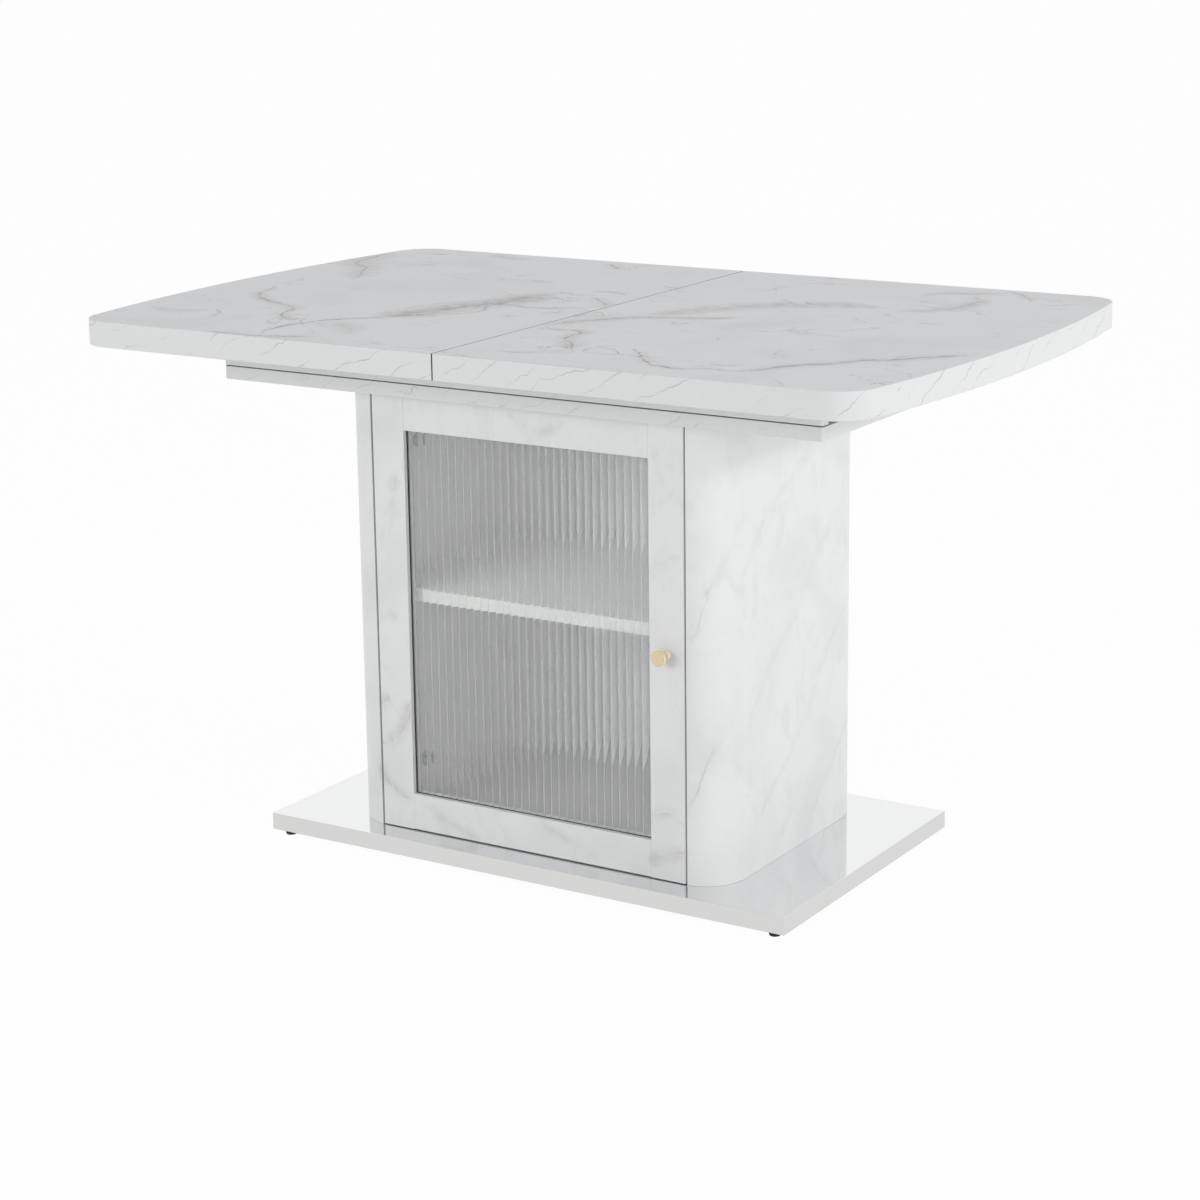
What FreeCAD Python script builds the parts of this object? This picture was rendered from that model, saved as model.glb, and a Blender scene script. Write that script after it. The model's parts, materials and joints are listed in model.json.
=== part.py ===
import FreeCAD, Part
import math
import os
import re

import Sketcher

# Extending kitchen table on a storage cabinet.
# Millimetres, +Z up, origin on the floor under the middle of the table, front of the table towards -Y.
# Every length below is a driving size. The formulas further down are words from this list.

SIZES = {
    # Table top, in two halves that part at the middle
    "table_height": 750,
    "top_length": 1236,
    "top_width": 800,
    "top_thickness": 35,
    "top_end_radius": 2300,
    "top_corner_radius": 52,
    "top_edge_round": 1,
    "split_gap": 1.2,
    "top_pull": 200,
    "top_pin_radius": 4,
    "top_pin_depth": 22,
    "top_pin_spacing": 260,
    # Shallow box under the top
    "carrier_end_overhang": 155.5,
    "carrier_thickness": 18,
    "carrier_corner_radius": 4,
    "apron_height": 43,
    "apron_thickness": 15,
    "apron_groove_height": 1.5,
    "apron_groove_depth": 2,
    "running_gap": 0.5,
    # Slides that carry the two halves
    "channel_end_gap": 12.5,
    "channel_depth": 12,
    "channel_height": 28,
    "channel_wall": 1.5,
    "channel_mouth": 12,
    "runner_end_gap": 5,
    "runner_stop_gap": 15,
    "runner_clearance": 0.4,
    "runner_web_height": 8,
    "runner_stand_off": 1.5,
    "runner_flange": 4,
    "runner_foot_width": 24,
    "runner_foot_thickness": 4,
    "runner_screw_inset": 60,
    "end_rail_clearance": 2,
    # Folding leaf kept in the box
    "leaf_thickness": 16,
    "leaf_clearance": 1,
    "leaf_fold_gap": 1,
    "leaf_side_room": 7.75,
    "leaf_pad_radius": 12,
    "leaf_pad_height": 3,
    "leaf_pad_inset": 50,
    "leaf_hinge_length": 50,
    "leaf_hinge_spacing": 240,
    "leaf_hinge_plate": 1.5,
    "leaf_hinge_rise": 12,
    "leaf_hinge_barrel": 2.5,
    # Cabinet
    "cabinet_width": 600,
    "cabinet_depth": 400,
    "cabinet_corner_radius": 60,
    "panel_thickness": 15,
    "gable_reveal": 3.5,
    "fit_gap": 0.3,
    "back_joint": 0.5,
    "deck_set_back": 18,
    "lower_room_share": 0.523,
    "shelf_thickness": 18,
    "shelf_door_gap": 4,
    "shelf_notch_width": 50,
    "shelf_notch_depth": 14,
    "shelf_side_gap": 1,
    "shelf_back_gap": 2,
    "shelf_pin_radius": 2.5,
    "shelf_pin_embed": 8,
    "shelf_pin_reach": 10,
    "shelf_pin_inset": 40,
    "spacer_length": 100,
    "spacer_height": 40,
    # Door
    "door_corner_lap": 3.5,
    "door_thickness": 20,
    "door_gap": 2.5,
    "door_floor_gap": 1.2,
    "door_edge_round": 2,
    "stile_width": 52,
    "rail_width": 52,
    "glass_lip": 7,
    "glass_rebate": 8,
    "glass_side_gap": 1,
    "gasket_thickness": 1,
    "gasket_show": 0.7,
    "gasket_side_gap": 0.2,
    "pane_thickness": 3.5,
    "rib_pitch": 12,
    "rib_height": 1.2,
    # Knob
    "knob_radius": 10.6,
    "knob_base_radius": 6.5,
    "knob_base_height": 2,
    "knob_neck_radius": 4.2,
    "knob_neck_start": 3.5,
    "knob_neck_end": 11,
    "knob_head_start": 16,
    "knob_head_end": 20.5,
    "knob_length": 22.5,
    "knob_face_radius": 8.8,
    "knob_bore_depth": 12,
    # Door hinges, each with one upright pin inside its cup
    "hinge_inset": 80,
    "hinge_edge_distance": 22.5,
    "hinge_pin_radius": 1.5,
    "hinge_pin_depth": 10,
    "pin_clearance": 0.05,
    "hinge_pin_play": 0.3,
    "cup_radius": 17.5,
    "cup_wall": 1.5,
    "cup_depth": 15,
    "cup_floor": 1,
    "cup_flange_width": 24,
    "cup_flange_height": 54,
    "cup_flange_thickness": 1.5,
    "cup_screw_spacing": 43,
    "arm_thickness": 6,
    "arm_height": 12,
    "arm_length": 60,
    "arm_barrel_radius": 3.4,
    "arm_notch_height": 15,
    "arm_notch_depth": 15.5,
    "hinge_plate_thickness": 3,
    "hinge_plate_length": 40,
    "hinge_plate_height": 34,
    "hinge_block_length": 30,
    "hinge_block_height": 16,
    "hinge_screw_spacing": 25,
    # Magnetic catch
    "catch_length": 46,
    "catch_depth": 40,
    "catch_height": 14,
    "catch_side_distance": 70,
    "catch_gap": 0.3,
    "catch_screw_inset": 5,
    "magnet_length": 26,
    "magnet_depth": 6,
    "magnet_height": 8,
    "strike_length": 30,
    "strike_height": 10,
    "strike_thickness": 1.5,
    # Base plate and feet
    "base_end_margin": 111,
    "base_side_margin": 40,
    "base_thickness": 24,
    "cladding_thickness": 1,
    "foot_height": 8,
    "foot_inset_length": 21,
    "foot_inset_width": 15,
    "foot_radius": 8,
    "foot_sole_radius": 7,
    "foot_sole_rise": 1,
    "foot_pad_height": 7,
    "foot_stud_radius": 4,
    "foot_stud_top": 25,
    "insert_wall": 2,
    "insert_height": 18,
    "insert_clearance": 0.05,
    # Fasteners
    "hole_clearance": 0.1,
    "carcass_screw_radius": 3,
    "carcass_screw_head_radius": 5,
    "carcass_screw_head_height": 4,
    "carcass_screw_length": 46,
    "carcass_screw_spacing": 240,
    "back_screw_spacing": 160,
    "back_screw_radius": 1.8,
    "back_screw_head_radius": 4,
    "back_screw_head_height": 1.2,
    "back_screw_bite": 14,
    "carrier_bolt_radius": 2.5,
    "carrier_bolt_head_radius": 5,
    "carrier_bolt_head_height": 2.5,
    "carrier_bolt_bite": 12,
    "carrier_bolt_inset": 25,
    "carrier_bolt_spacing": 220,
    "apron_screw_radius": 2,
    "apron_screw_head_radius": 4,
    "apron_screw_head_height": 3,
    "apron_screw_sink": 4,
    "apron_screw_bite": 18,
    "top_screw_radius": 2,
    "top_screw_head_radius": 3.5,
    "top_screw_head_height": 2,
    "top_screw_bite": 14,
    "small_screw_radius": 1.75,
    "small_screw_head_radius": 3.5,
    "small_screw_head_height": 1.5,
    "small_screw_bite": 12,
    "catch_screw_bite": 9,
    "knob_screw_radius": 2,
    "knob_screw_head_radius": 4.5,
    "knob_screw_head_height": 2.5,
    # Every cutting tool runs past the face that it opens by this much
    "overrun": 2,
}

# Places and sizes that follow from the driving sizes
PLACES = {
    "top_underside": "table_height - top_thickness",
    "top_middle": "table_height - top_thickness / 2",
    "apron_top": "top_underside - running_gap",
    "carrier_top": "apron_top - apron_height",
    "carrier_bottom": "carrier_top - carrier_thickness",
    "plate_top": "foot_height + base_thickness",
    "cabinet_rise": "carrier_bottom - plate_top",
    "cabinet_front": "-cabinet_depth / 2",
    # Outline of a half of the top: a bowed end met by two rounded corners
    "bow_centre": "top_length / 2 - top_end_radius",
    "corner_offset": "top_width / 2 - top_corner_radius",
    "bow_reach": "sqrt((top_end_radius - top_corner_radius)^2 - corner_offset^2)",
    "corner_start": "bow_centre + bow_reach",
    "bow_growth": "top_end_radius / (top_end_radius - top_corner_radius)",
    "bow_end_across": "bow_centre + bow_reach * bow_growth",
    "bow_end_along": "corner_offset * bow_growth",
    # Box: as long as the top less its overhang, and wide enough for the folded leaf between the slides
    "carrier_length": "top_length - 2 * carrier_end_overhang",
    "carrier_width": "2 * (leaf_half_depth + leaf_side_room + flange_front + apron_thickness)",
    "apron_inner": "carrier_width / 2 - apron_thickness",
    # Slides: distances are measured inwards from the inner face of an apron rail
    "channel_length": "carrier_length - 2 * channel_end_gap",
    "runner_length": "channel_length / 2 - runner_end_gap - runner_stop_gap",
    "slide_level": "carrier_top + apron_height / 2",
    "bar_back": "channel_wall + runner_clearance",
    "bar_front": "channel_depth - channel_wall - runner_clearance",
    "bar_half": "channel_height / 2 - channel_wall - runner_clearance",
    "flange_back": "channel_depth + runner_stand_off",
    "flange_front": "flange_back + runner_flange",
    "foot_front": "flange_back + runner_foot_width",
    "foot_under": "top_underside - runner_foot_thickness",
    "foot_screw_line": "(flange_front + foot_front) / 2",
    # Folding leaf
    "leaf_half_width": "top_pull - leaf_clearance / 2",
    "leaf_half_depth": "(top_width - leaf_fold_gap) / 4",
    "leaf_bottom": "carrier_top + leaf_pad_height",
    "leaf_fold": "leaf_bottom + leaf_thickness",
    # Cabinet: the bent side panels end beside the door and beside the back panel
    "door_width": "cabinet_width - 2 * cabinet_corner_radius + 2 * door_corner_lap",
    "panel_edge": "door_width / 2 + door_gap",
    "bend_across": "cabinet_width / 2 - cabinet_corner_radius",
    "bend_along": "cabinet_depth / 2 - cabinet_corner_radius",
    "inner_bend_radius": "cabinet_corner_radius - panel_thickness",
    "panel_outer_edge": "bend_along + sqrt(cabinet_corner_radius^2 - (panel_edge - bend_across)^2)",
    "panel_inner_edge": "bend_along + sqrt(inner_bend_radius^2 - (panel_edge - bend_across)^2)",
    "panel_inner_side": "cabinet_width / 2 - panel_thickness",
    "gable_inner": "door_width / 2 + gable_reveal",
    "gable_outer": "gable_inner + panel_thickness",
    "gable_half_depth": "bend_along + sqrt(inner_bend_radius^2 - (gable_outer - bend_across)^2) - fit_gap",
    "board_back": "bend_along + sqrt(inner_bend_radius^2 - (gable_inner - bend_across)^2) - fit_gap",
    "board_front": "cabinet_front + door_thickness + deck_set_back",
    "deck_bottom": "carrier_bottom - panel_thickness",
    "deck_middle": "carrier_bottom - panel_thickness / 2",
    "floor_top": "plate_top + panel_thickness",
    "floor_middle": "plate_top + panel_thickness / 2",
    "shelf_bottom": "floor_top + (deck_bottom - floor_top) * lower_room_share",
    "shelf_front": "cabinet_front + door_thickness + shelf_door_gap",
    "shelf_pin_level": "shelf_bottom - shelf_pin_radius - pin_clearance",
    # Door
    "door_back": "cabinet_front + door_thickness",
    "door_bottom": "plate_top + door_floor_gap",
    "door_top": "carrier_bottom - door_gap",
    "door_middle": "(door_bottom + door_top) / 2",
    "sight_half": "door_width / 2 - stile_width",
    "sight_bottom": "door_bottom + rail_width",
    "sight_top": "door_top - rail_width",
    "rebate_front": "cabinet_front + glass_lip",
    "pane_front": "rebate_front + gasket_thickness + rib_height",
    "pane_back": "pane_front + pane_thickness",
    "pane_lap": "glass_rebate - glass_side_gap",
    "pane_half": "sight_half + pane_lap",
    "rib_count": "floor(2 * pane_half / rib_pitch)",
    "rib_radius": "((rib_pitch / 2)^2 + rib_height^2) / (2 * rib_height)",
    "gasket_lap": "glass_rebate - gasket_side_gap",
    "knob_across": "door_width / 2 - stile_width / 2",
    # Hinges
    "hinge_across": "-door_width / 2 + hinge_edge_distance",
    "hinge_along": "door_back - hinge_pin_depth",
    "hinge_low": "door_bottom + hinge_inset",
    "hinge_high": "door_top - hinge_inset",
    "flange_face": "door_back + cup_flange_thickness",
    "arm_side": "hinge_across - arm_thickness / 2",
    "arm_back": "hinge_along + arm_length",
    "block_front": "arm_back - hinge_block_length",
    "hinge_plate_front": "arm_back - hinge_plate_length",
    "hinge_plate_face": "-gable_inner + hinge_plate_thickness",
    "hinge_plate_screw_line": "arm_back - hinge_block_length / 2",
    # Magnetic catch
    "catch_middle": "door_width / 2 - catch_side_distance",
    "catch_front": "door_back + strike_thickness + catch_gap",
    "catch_back": "catch_front + catch_depth",
    "catch_bottom": "deck_bottom - catch_height",
    "catch_level": "deck_bottom - catch_height / 2",
    # Base
    "base_length": "cabinet_width + 2 * base_end_margin",
    "base_width": "cabinet_depth + 2 * base_side_margin",
    "core_top": "plate_top - cladding_thickness",
    "core_half_length": "base_length / 2 - cladding_thickness",
    "core_half_width": "base_width / 2 - cladding_thickness",
    "foot_across": "base_length / 2 - foot_inset_length",
    "foot_along": "base_width / 2 - foot_inset_width",
    "insert_bore": "foot_stud_radius + insert_clearance",
    "insert_radius": "foot_stud_radius + insert_wall",
}

# Where the spacer blocks stand, as shares of the cabinet's height
spacer_shares = (0.15, 0.5, 0.85)
# Where screws stand along an apron rail, as shares of half its length
long_rail_shares = (-0.82, -0.28, 0.28, 0.82)
short_rail_shares = (-0.6, 0.6)

AXES = {
    "x": FreeCAD.Vector(1, 0, 0),
    "-x": FreeCAD.Vector(-1, 0, 0),
    "y": FreeCAD.Vector(0, 1, 0),
    "-y": FreeCAD.Vector(0, -1, 0),
    "z": FreeCAD.Vector(0, 0, 1),
    "-z": FreeCAD.Vector(0, 0, -1),
}

document = FreeCAD.newDocument("KitchenTable")
finished = []


def make_sheet():
    """Write the driving sizes into the document's sheet, one named cell each."""
    sheet = document.addObject("Spreadsheet::Sheet", "Sizes")
    for row, (name, value) in enumerate(SIZES.items(), start=1):
        sheet.set(f"A{row}", name)
        sheet.set(f"B{row}", str(value))
        sheet.setAlias(f"B{row}", name)
    document.recompute()
    return sheet


def formula(text):
    """Turn a formula of plain words into one that reads the sheet."""
    def expand(match):
        word = match.group(0)
        if word in SIZES:
            return f"Sizes.{word}"
        if word in PLACES:
            return f"({formula(PLACES[word])})"
        return word
    return re.sub(r"[a-z_]+", expand, text)


def number(text):
    """The present value of a formula."""
    return float(sizes.evalExpression(formula(text)))


def bind(item, field, text):
    """Tie one field of an object to a formula."""
    item.setExpression(field, formula(text))


def put(item, across, along, up):
    """Tie an object's place to three formulas."""
    bind(item, "Placement.Base.x", across)
    bind(item, "Placement.Base.y", along)
    bind(item, "Placement.Base.z", up)


def finish(item, label):
    """Name a finished sub-part and keep it for writing."""
    item.Label = label
    finished.append(item)
    return item


def minus(text):
    """The formula with its sign turned."""
    return f"-({text})"


def both_sides(text):
    """A span from minus the formula to plus the formula."""
    return minus(text), text


def box(across, along, up):
    """A block between three spans, each a pair of formulas."""
    block = document.addObject("Part::Box", "block")
    bind(block, "Length", f"({across[1]}) - ({across[0]})")
    bind(block, "Width", f"({along[1]}) - ({along[0]})")
    bind(block, "Height", f"({up[1]}) - ({up[0]})")
    put(block, across[0], along[0], up[0])
    return block


def rod(direction, start, radius, length):
    """A round bar from a start point along a direction."""
    bar = document.addObject("Part::Cylinder", "rod")
    turn = FreeCAD.Rotation(AXES["z"], AXES[direction])
    bar.Placement = FreeCAD.Placement(FreeCAD.Vector(), turn)
    bind(bar, "Radius", radius)
    bind(bar, "Height", length)
    put(bar, *start)
    return bar


def union(items):
    """Several touching or overlapping shapes as one."""
    if len(items) == 1:
        return items[0]
    whole = document.addObject("Part::MultiFuse", "union")
    whole.Shapes = items
    return whole


def cut(base, tools):
    """The base with every tool taken out of it."""
    rest = document.addObject("Part::Cut", "cut")
    rest.Base = base
    rest.Tool = union(tools)
    return rest


def group(items):
    """Separate pieces of one kind, kept apart in one object."""
    pieces = document.addObject("Part::Compound", "group")
    pieces.Links = items
    return pieces


def arc_between(start, end, radius, turn):
    """A round stretch from start to end that turns left or right, and the order of its ends."""
    chord = end - start
    middle = (start + end) * 0.5
    side = FreeCAD.Vector(-chord.y, chord.x, 0).normalize()
    height = math.sqrt(max(radius ** 2 - (chord.Length / 2) ** 2, 0))
    if turn == "right":
        side = side * -1
        start, end = end, start
    centre = middle + side * height
    circle = Part.Circle(centre, AXES["z"], radius)
    first = math.atan2(start.y - centre.y, start.x - centre.x)
    last = math.atan2(end.y - centre.y, end.x - centre.x)
    order = (2, 1) if turn == "right" else (1, 2)
    return Part.ArcOfCircle(circle, first, last), order


def draw(sketch, corners):
    """A closed outline through corners (across, along) or (across, along, radius, turn).

    The last two make the stretch that leaves the corner an arc. Every corner and radius is bound.
    """
    spots = [FreeCAD.Vector(number(corner[0]), number(corner[1]), 0) for corner in corners]
    ends = []
    for index, corner in enumerate(corners):
        start = spots[index]
        end = spots[(index + 1) % len(spots)]
        if len(corner) == 2:
            stretch, order = Part.LineSegment(start, end), (1, 2)
        else:
            stretch, order = arc_between(start, end, number(corner[2]), corner[3])
        sketch.addGeometry(stretch, False)
        ends.append(order)
    for index in range(len(corners)):
        after = (index + 1) % len(corners)
        join = Sketcher.Constraint("Coincident", index, ends[index][1], after, ends[after][0])
        sketch.addConstraint(join)
    for index, corner in enumerate(corners):
        tie(sketch, f"across{index}", "DistanceX", (-1, 1, index, ends[index][0]), corner[0])
        tie(sketch, f"along{index}", "DistanceY", (-1, 1, index, ends[index][0]), corner[1])
        if len(corner) > 2:
            tie(sketch, f"radius{index}", "Radius", (index,), corner[2])


def tie(sketch, name, kind, geometry, text):
    """One named constraint of a sketch, bound to a formula."""
    place = sketch.addConstraint(Sketcher.Constraint(kind, *geometry, number(text)))
    sketch.renameConstraint(place, name)
    bind(sketch, f"Constraints.{name}", text)


def new_sketch(body, plane, corners, offset=None):
    """An outline on one of the body's own origin planes, moved along its normal by the offset."""
    sketch = body.newObject("Sketcher::SketchObject", "outline")
    support = next(feature for feature in body.Origin.OriginFeatures if feature.Role == plane)
    sketch.AttachmentSupport = [(support, "")]
    sketch.MapMode = "FlatFace"
    if offset is not None:
        bind(sketch, "AttachmentOffset.Base.z", offset)
    draw(sketch, corners)
    return sketch


def prism(plane, corners, start, length):
    """A body whose outline is pushed out along the normal of its plane."""
    body = document.addObject("PartDesign::Body", "prism")
    pad = body.newObject("PartDesign::Pad", "pad")
    pad.Profile = new_sketch(body, plane, corners, start)
    bind(pad, "Length", length)
    document.recompute()
    return body


def turned(plane, corners):
    """A body made by turning half an outline about the upright axis of its sketch."""
    body = document.addObject("PartDesign::Body", "turned")
    sketch = new_sketch(body, plane, corners)
    revolution = body.newObject("PartDesign::Revolution", "revolution")
    revolution.Profile = sketch
    revolution.ReferenceAxis = (sketch, ["V_Axis"])
    revolution.Angle = 360
    document.recompute()
    return body


def half_turn(body):
    """Turn a body half round the upright axis through the middle of the table."""
    body.Placement = FreeCAD.Placement(FreeCAD.Vector(), FreeCAD.Rotation(AXES["z"], 180))


def screw(direction, seat, head, shank):
    """A screw that points along a direction; head and shank are (radius, length) from the seat."""
    opposite = direction[1:] if direction.startswith("-") else f"-{direction}"
    return union([rod(opposite, seat, *head), rod(direction, seat, *shank)])


def clearance(radius):
    """Radius of the hole that a fastener passes through."""
    return f"{radius} + hole_clearance"


def round_edges(body, radius):
    """Round the edges of the flat faces that look up and down."""
    pad = body.Tip
    flats = []
    for index, face in enumerate(pad.Shape.Faces, start=1):
        normal = face.normalAt(0, 0)
        if abs(normal.z) > abs(normal.x) + abs(normal.y):
            flats.append(f"Face{index}")
    fillet = body.newObject("PartDesign::Fillet", "arris")
    fillet.Base = (pad, flats)
    bind(fillet, "Radius", radius)
    document.recompute()


def on_side(side, text):
    """The formula on the plus side (1) or on the minus side (-1) of the middle."""
    return text if side > 0 else minus(text)


def side_span(side, near, far):
    """A span between two distances from the middle, on one side of it."""
    return (near, far) if side > 0 else (minus(far), minus(near))


def build_base():
    """Core board, polished cladding over it, inserts and levelling feet."""
    inside = (both_sides("core_half_length"), both_sides("core_half_width"))
    spots = [(on_side(x, "foot_across"), on_side(y, "foot_along")) for x in (-1, 1) for y in (-1, 1)]
    pockets = []
    inserts = []
    for across, along in spots:
        seat = (across, along, "foot_height - overrun")
        start = (across, along, "foot_height")
        depth = "foot_stud_top + overrun - foot_height + overrun"
        pockets.append(rod("z", seat, "insert_radius + insert_clearance", depth))
        sleeve = rod("z", start, "insert_radius", "insert_height")
        inserts.append(cut(sleeve, [rod("z", seat, "insert_bore", "insert_height + 2 * overrun")]))
    core = box(*inside, ("foot_height", "core_top"))
    finish(cut(core, pockets), "base_core")
    finish(group(inserts), "foot_inserts")
    shell = box(both_sides("base_length / 2"), both_sides("base_width / 2"), ("foot_height", "plate_top"))
    hollow = box(*inside, ("foot_height - overrun", "core_top"))
    finish(cut(shell, [hollow]), "base_cladding")
    names = ("foot_front_left", "foot_back_left", "foot_front_right", "foot_back_right")
    profile = [
        ("0", "0"),
        ("foot_sole_radius", "0"),
        ("foot_radius", "foot_sole_rise"),
        ("foot_radius", "foot_pad_height"),
        ("foot_stud_radius", "foot_pad_height"),
        ("foot_stud_radius", "foot_stud_top"),
        ("0", "foot_stud_top"),
    ]
    for name, (across, along) in zip(names, spots):
        foot = turned("XZ_Plane", profile)
        put(foot, across, along, "0")
        finish(foot, name)


def bent_panel():
    """A side panel bent round the cabinet's front and back corners."""
    radius = "cabinet_corner_radius"
    return prism("XY_Plane", [
        ("panel_edge", "-panel_outer_edge", radius, "left"),
        ("cabinet_width / 2", "-bend_along"),
        ("cabinet_width / 2", "bend_along", radius, "left"),
        ("panel_edge", "panel_outer_edge"),
        ("panel_edge", "panel_inner_edge", "inner_bend_radius", "right"),
        ("panel_inner_side", "bend_along"),
        ("panel_inner_side", "-bend_along", "inner_bend_radius", "right"),
        ("panel_edge", "-panel_inner_edge"),
    ], "plate_top", "cabinet_rise")


def carcass_screw_parts():
    """The long screws through the gables, and the holes that they need."""
    screws = []
    holes = {-1: [], 1: []}
    for side in (-1, 1):
        direction = "-x" if side > 0 else "x"
        for level in ("deck_middle", "floor_middle"):
            for along in both_sides("carcass_screw_spacing / 2"):
                seat = (on_side(side, "gable_outer - carcass_screw_head_height"), along, level)
                head = ("carcass_screw_head_radius", "carcass_screw_head_height")
                shank = ("carcass_screw_radius", "carcass_screw_length")
                screws.append(screw(direction, seat, head, shank))
                wide_head = (clearance("carcass_screw_head_radius"), "carcass_screw_head_height + overrun")
                wide_shank = (clearance("carcass_screw_radius"), "carcass_screw_length + overrun")
                holes[side].append(screw(direction, seat, wide_head, wide_shank))
    return screws, holes


def shelf_pin_parts():
    """The pins under the shelf, and the holes in the gables that hold them."""
    pins = []
    holes = {-1: [], 1: []}
    lines = ("shelf_front + shelf_pin_inset", "board_back - shelf_pin_inset")
    for side in (-1, 1):
        direction = "x" if side > 0 else "-x"
        for along in lines:
            start = (on_side(side, "gable_inner - shelf_pin_reach"), along, "shelf_pin_level")
            pins.append(rod(direction, start, "shelf_pin_radius", "shelf_pin_reach + shelf_pin_embed"))
            deep = "shelf_pin_reach + shelf_pin_embed + overrun"
            holes[side].append(rod(direction, start, clearance("shelf_pin_radius"), deep))
    return pins, holes


def hinge_plate_screw_parts():
    """The screws of the hinge plates, and their holes."""
    screws = []
    holes = []
    length = "hinge_plate_thickness + small_screw_bite"
    for level in ("hinge_low", "hinge_high"):
        for sign in ("-", "+"):
            up = f"{level} {sign} hinge_screw_spacing / 2"
            seat = ("hinge_plate_face", "hinge_plate_screw_line", up)
            head = ("small_screw_head_radius", "small_screw_head_height")
            screws.append(screw("-x", seat, head, ("small_screw_radius", length)))
            start = ("hinge_plate_face + overrun", "hinge_plate_screw_line", up)
            holes.append(rod("-x", start, clearance("small_screw_radius"), f"{length} + 2 * overrun"))
    return screws, holes


def back_screw_parts():
    """The screws through the back panel into the deck and the floor, and their holes."""
    screws = []
    holes = []
    length = "cabinet_depth / 2 - board_back + back_screw_bite"
    for level in ("deck_middle", "floor_middle"):
        for across in ("-back_screw_spacing", "0", "back_screw_spacing"):
            seat = (across, "cabinet_depth / 2", level)
            head = ("back_screw_head_radius", "back_screw_head_height")
            screws.append(screw("-y", seat, head, ("back_screw_radius", length)))
            start = (across, "cabinet_depth / 2 + overrun", level)
            holes.append(rod("-y", start, clearance("back_screw_radius"), f"{length} + 2 * overrun"))
    return screws, holes


def carrier_bolt_parts():
    """The bolts through the carrier board into the deck, and their holes."""
    bolts = []
    holes = []
    length = "carrier_thickness + carrier_bolt_bite"
    for across in both_sides("gable_inner - carrier_bolt_inset"):
        for along in both_sides("carrier_bolt_spacing / 2"):
            head = ("carrier_bolt_head_radius", "carrier_bolt_head_height")
            shank = ("carrier_bolt_radius", length)
            bolts.append(screw("-z", (across, along, "carrier_top"), head, shank))
            start = (across, along, "carrier_top + overrun")
            holes.append(rod("-z", start, clearance("carrier_bolt_radius"), f"{length} + 2 * overrun"))
    return bolts, holes


def catch_screw_parts():
    """The screws of the magnetic catch, and their holes."""
    screws = []
    holes = []
    length = "catch_height + catch_screw_bite"
    along = "(catch_front + catch_back + magnet_depth) / 2"
    for sign in ("-", "+"):
        across = f"catch_middle {sign} (catch_length / 2 - catch_screw_inset)"
        head = ("small_screw_head_radius", "small_screw_head_height")
        screws.append(screw("z", (across, along, "catch_bottom"), head, ("small_screw_radius", length)))
        start = (across, along, "catch_bottom - overrun")
        holes.append(rod("z", start, clearance("small_screw_radius"), f"{length} + 2 * overrun"))
    return screws, holes


def build_cabinet():
    """Bent side panels, carcass, back, shelf, hinge plates and catch."""
    finish(bent_panel(), "right_side_panel")
    left = bent_panel()
    half_turn(left)
    finish(left, "left_side_panel")
    carcass_screws, carcass_holes = carcass_screw_parts()
    pins, pin_holes = shelf_pin_parts()
    plate_screws, plate_holes = hinge_plate_screw_parts()
    back_screws, back_holes = back_screw_parts()
    bolts, bolt_holes = carrier_bolt_parts()
    catch_screws, catch_holes = catch_screw_parts()
    for side, name in ((-1, "left"), (1, "right")):
        across = side_span(side, "gable_inner", "gable_outer")
        board = box(across, both_sides("gable_half_depth"), ("plate_top", "carrier_bottom"))
        holes = carcass_holes[side] + pin_holes[side]
        if side < 0:
            holes = holes + plate_holes
        finish(cut(board, holes), f"{name}_gable")
        blocks = []
        for share in spacer_shares:
            middle = f"plate_top + cabinet_rise * {share}"
            up = (f"{middle} - spacer_height / 2", f"{middle} + spacer_height / 2")
            span = side_span(side, "gable_outer", "panel_inner_side")
            blocks.append(box(span, both_sides("spacer_length / 2"), up))
        finish(group(blocks), f"{name}_spacer_blocks")
    inside = (both_sides("gable_inner"), ("board_front", "board_back"))
    long_screws = carcass_holes[-1] + carcass_holes[1]
    deck = box(*inside, ("deck_bottom", "carrier_bottom"))
    finish(cut(deck, long_screws + back_holes + bolt_holes + catch_holes), "cabinet_deck")
    floor = box(*inside, ("plate_top", "floor_top"))
    finish(cut(floor, long_screws + back_holes), "cabinet_floor")
    back_span = ("board_back", "cabinet_depth / 2")
    back = box(both_sides("panel_edge - back_joint"), back_span, ("plate_top", "carrier_bottom"))
    finish(cut(back, back_holes), "back_panel")
    shelf_span = ("shelf_front", "board_back - shelf_back_gap")
    shelf_up = ("shelf_bottom", "shelf_bottom + shelf_thickness")
    shelf = box(both_sides("gable_inner - shelf_side_gap"), shelf_span, shelf_up)
    # The door's hinged edge swings in past the shelf's front, so that corner is cut away
    notch_across = ("-gable_inner", "shelf_notch_width - gable_inner")
    notch_along = ("shelf_front - overrun", "shelf_front + shelf_notch_depth")
    notch_up = ("shelf_bottom - overrun", "shelf_bottom + shelf_thickness + overrun")
    finish(cut(shelf, [box(notch_across, notch_along, notch_up)]), "shelf")
    finish(group(carcass_screws), "carcass_screws")
    finish(group(pins), "shelf_pins")
    finish(group(back_screws), "back_panel_screws")
    build_hinge_plates(plate_screws, plate_holes)
    build_catch(catch_screws, catch_holes)
    return bolts, bolt_holes


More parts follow.
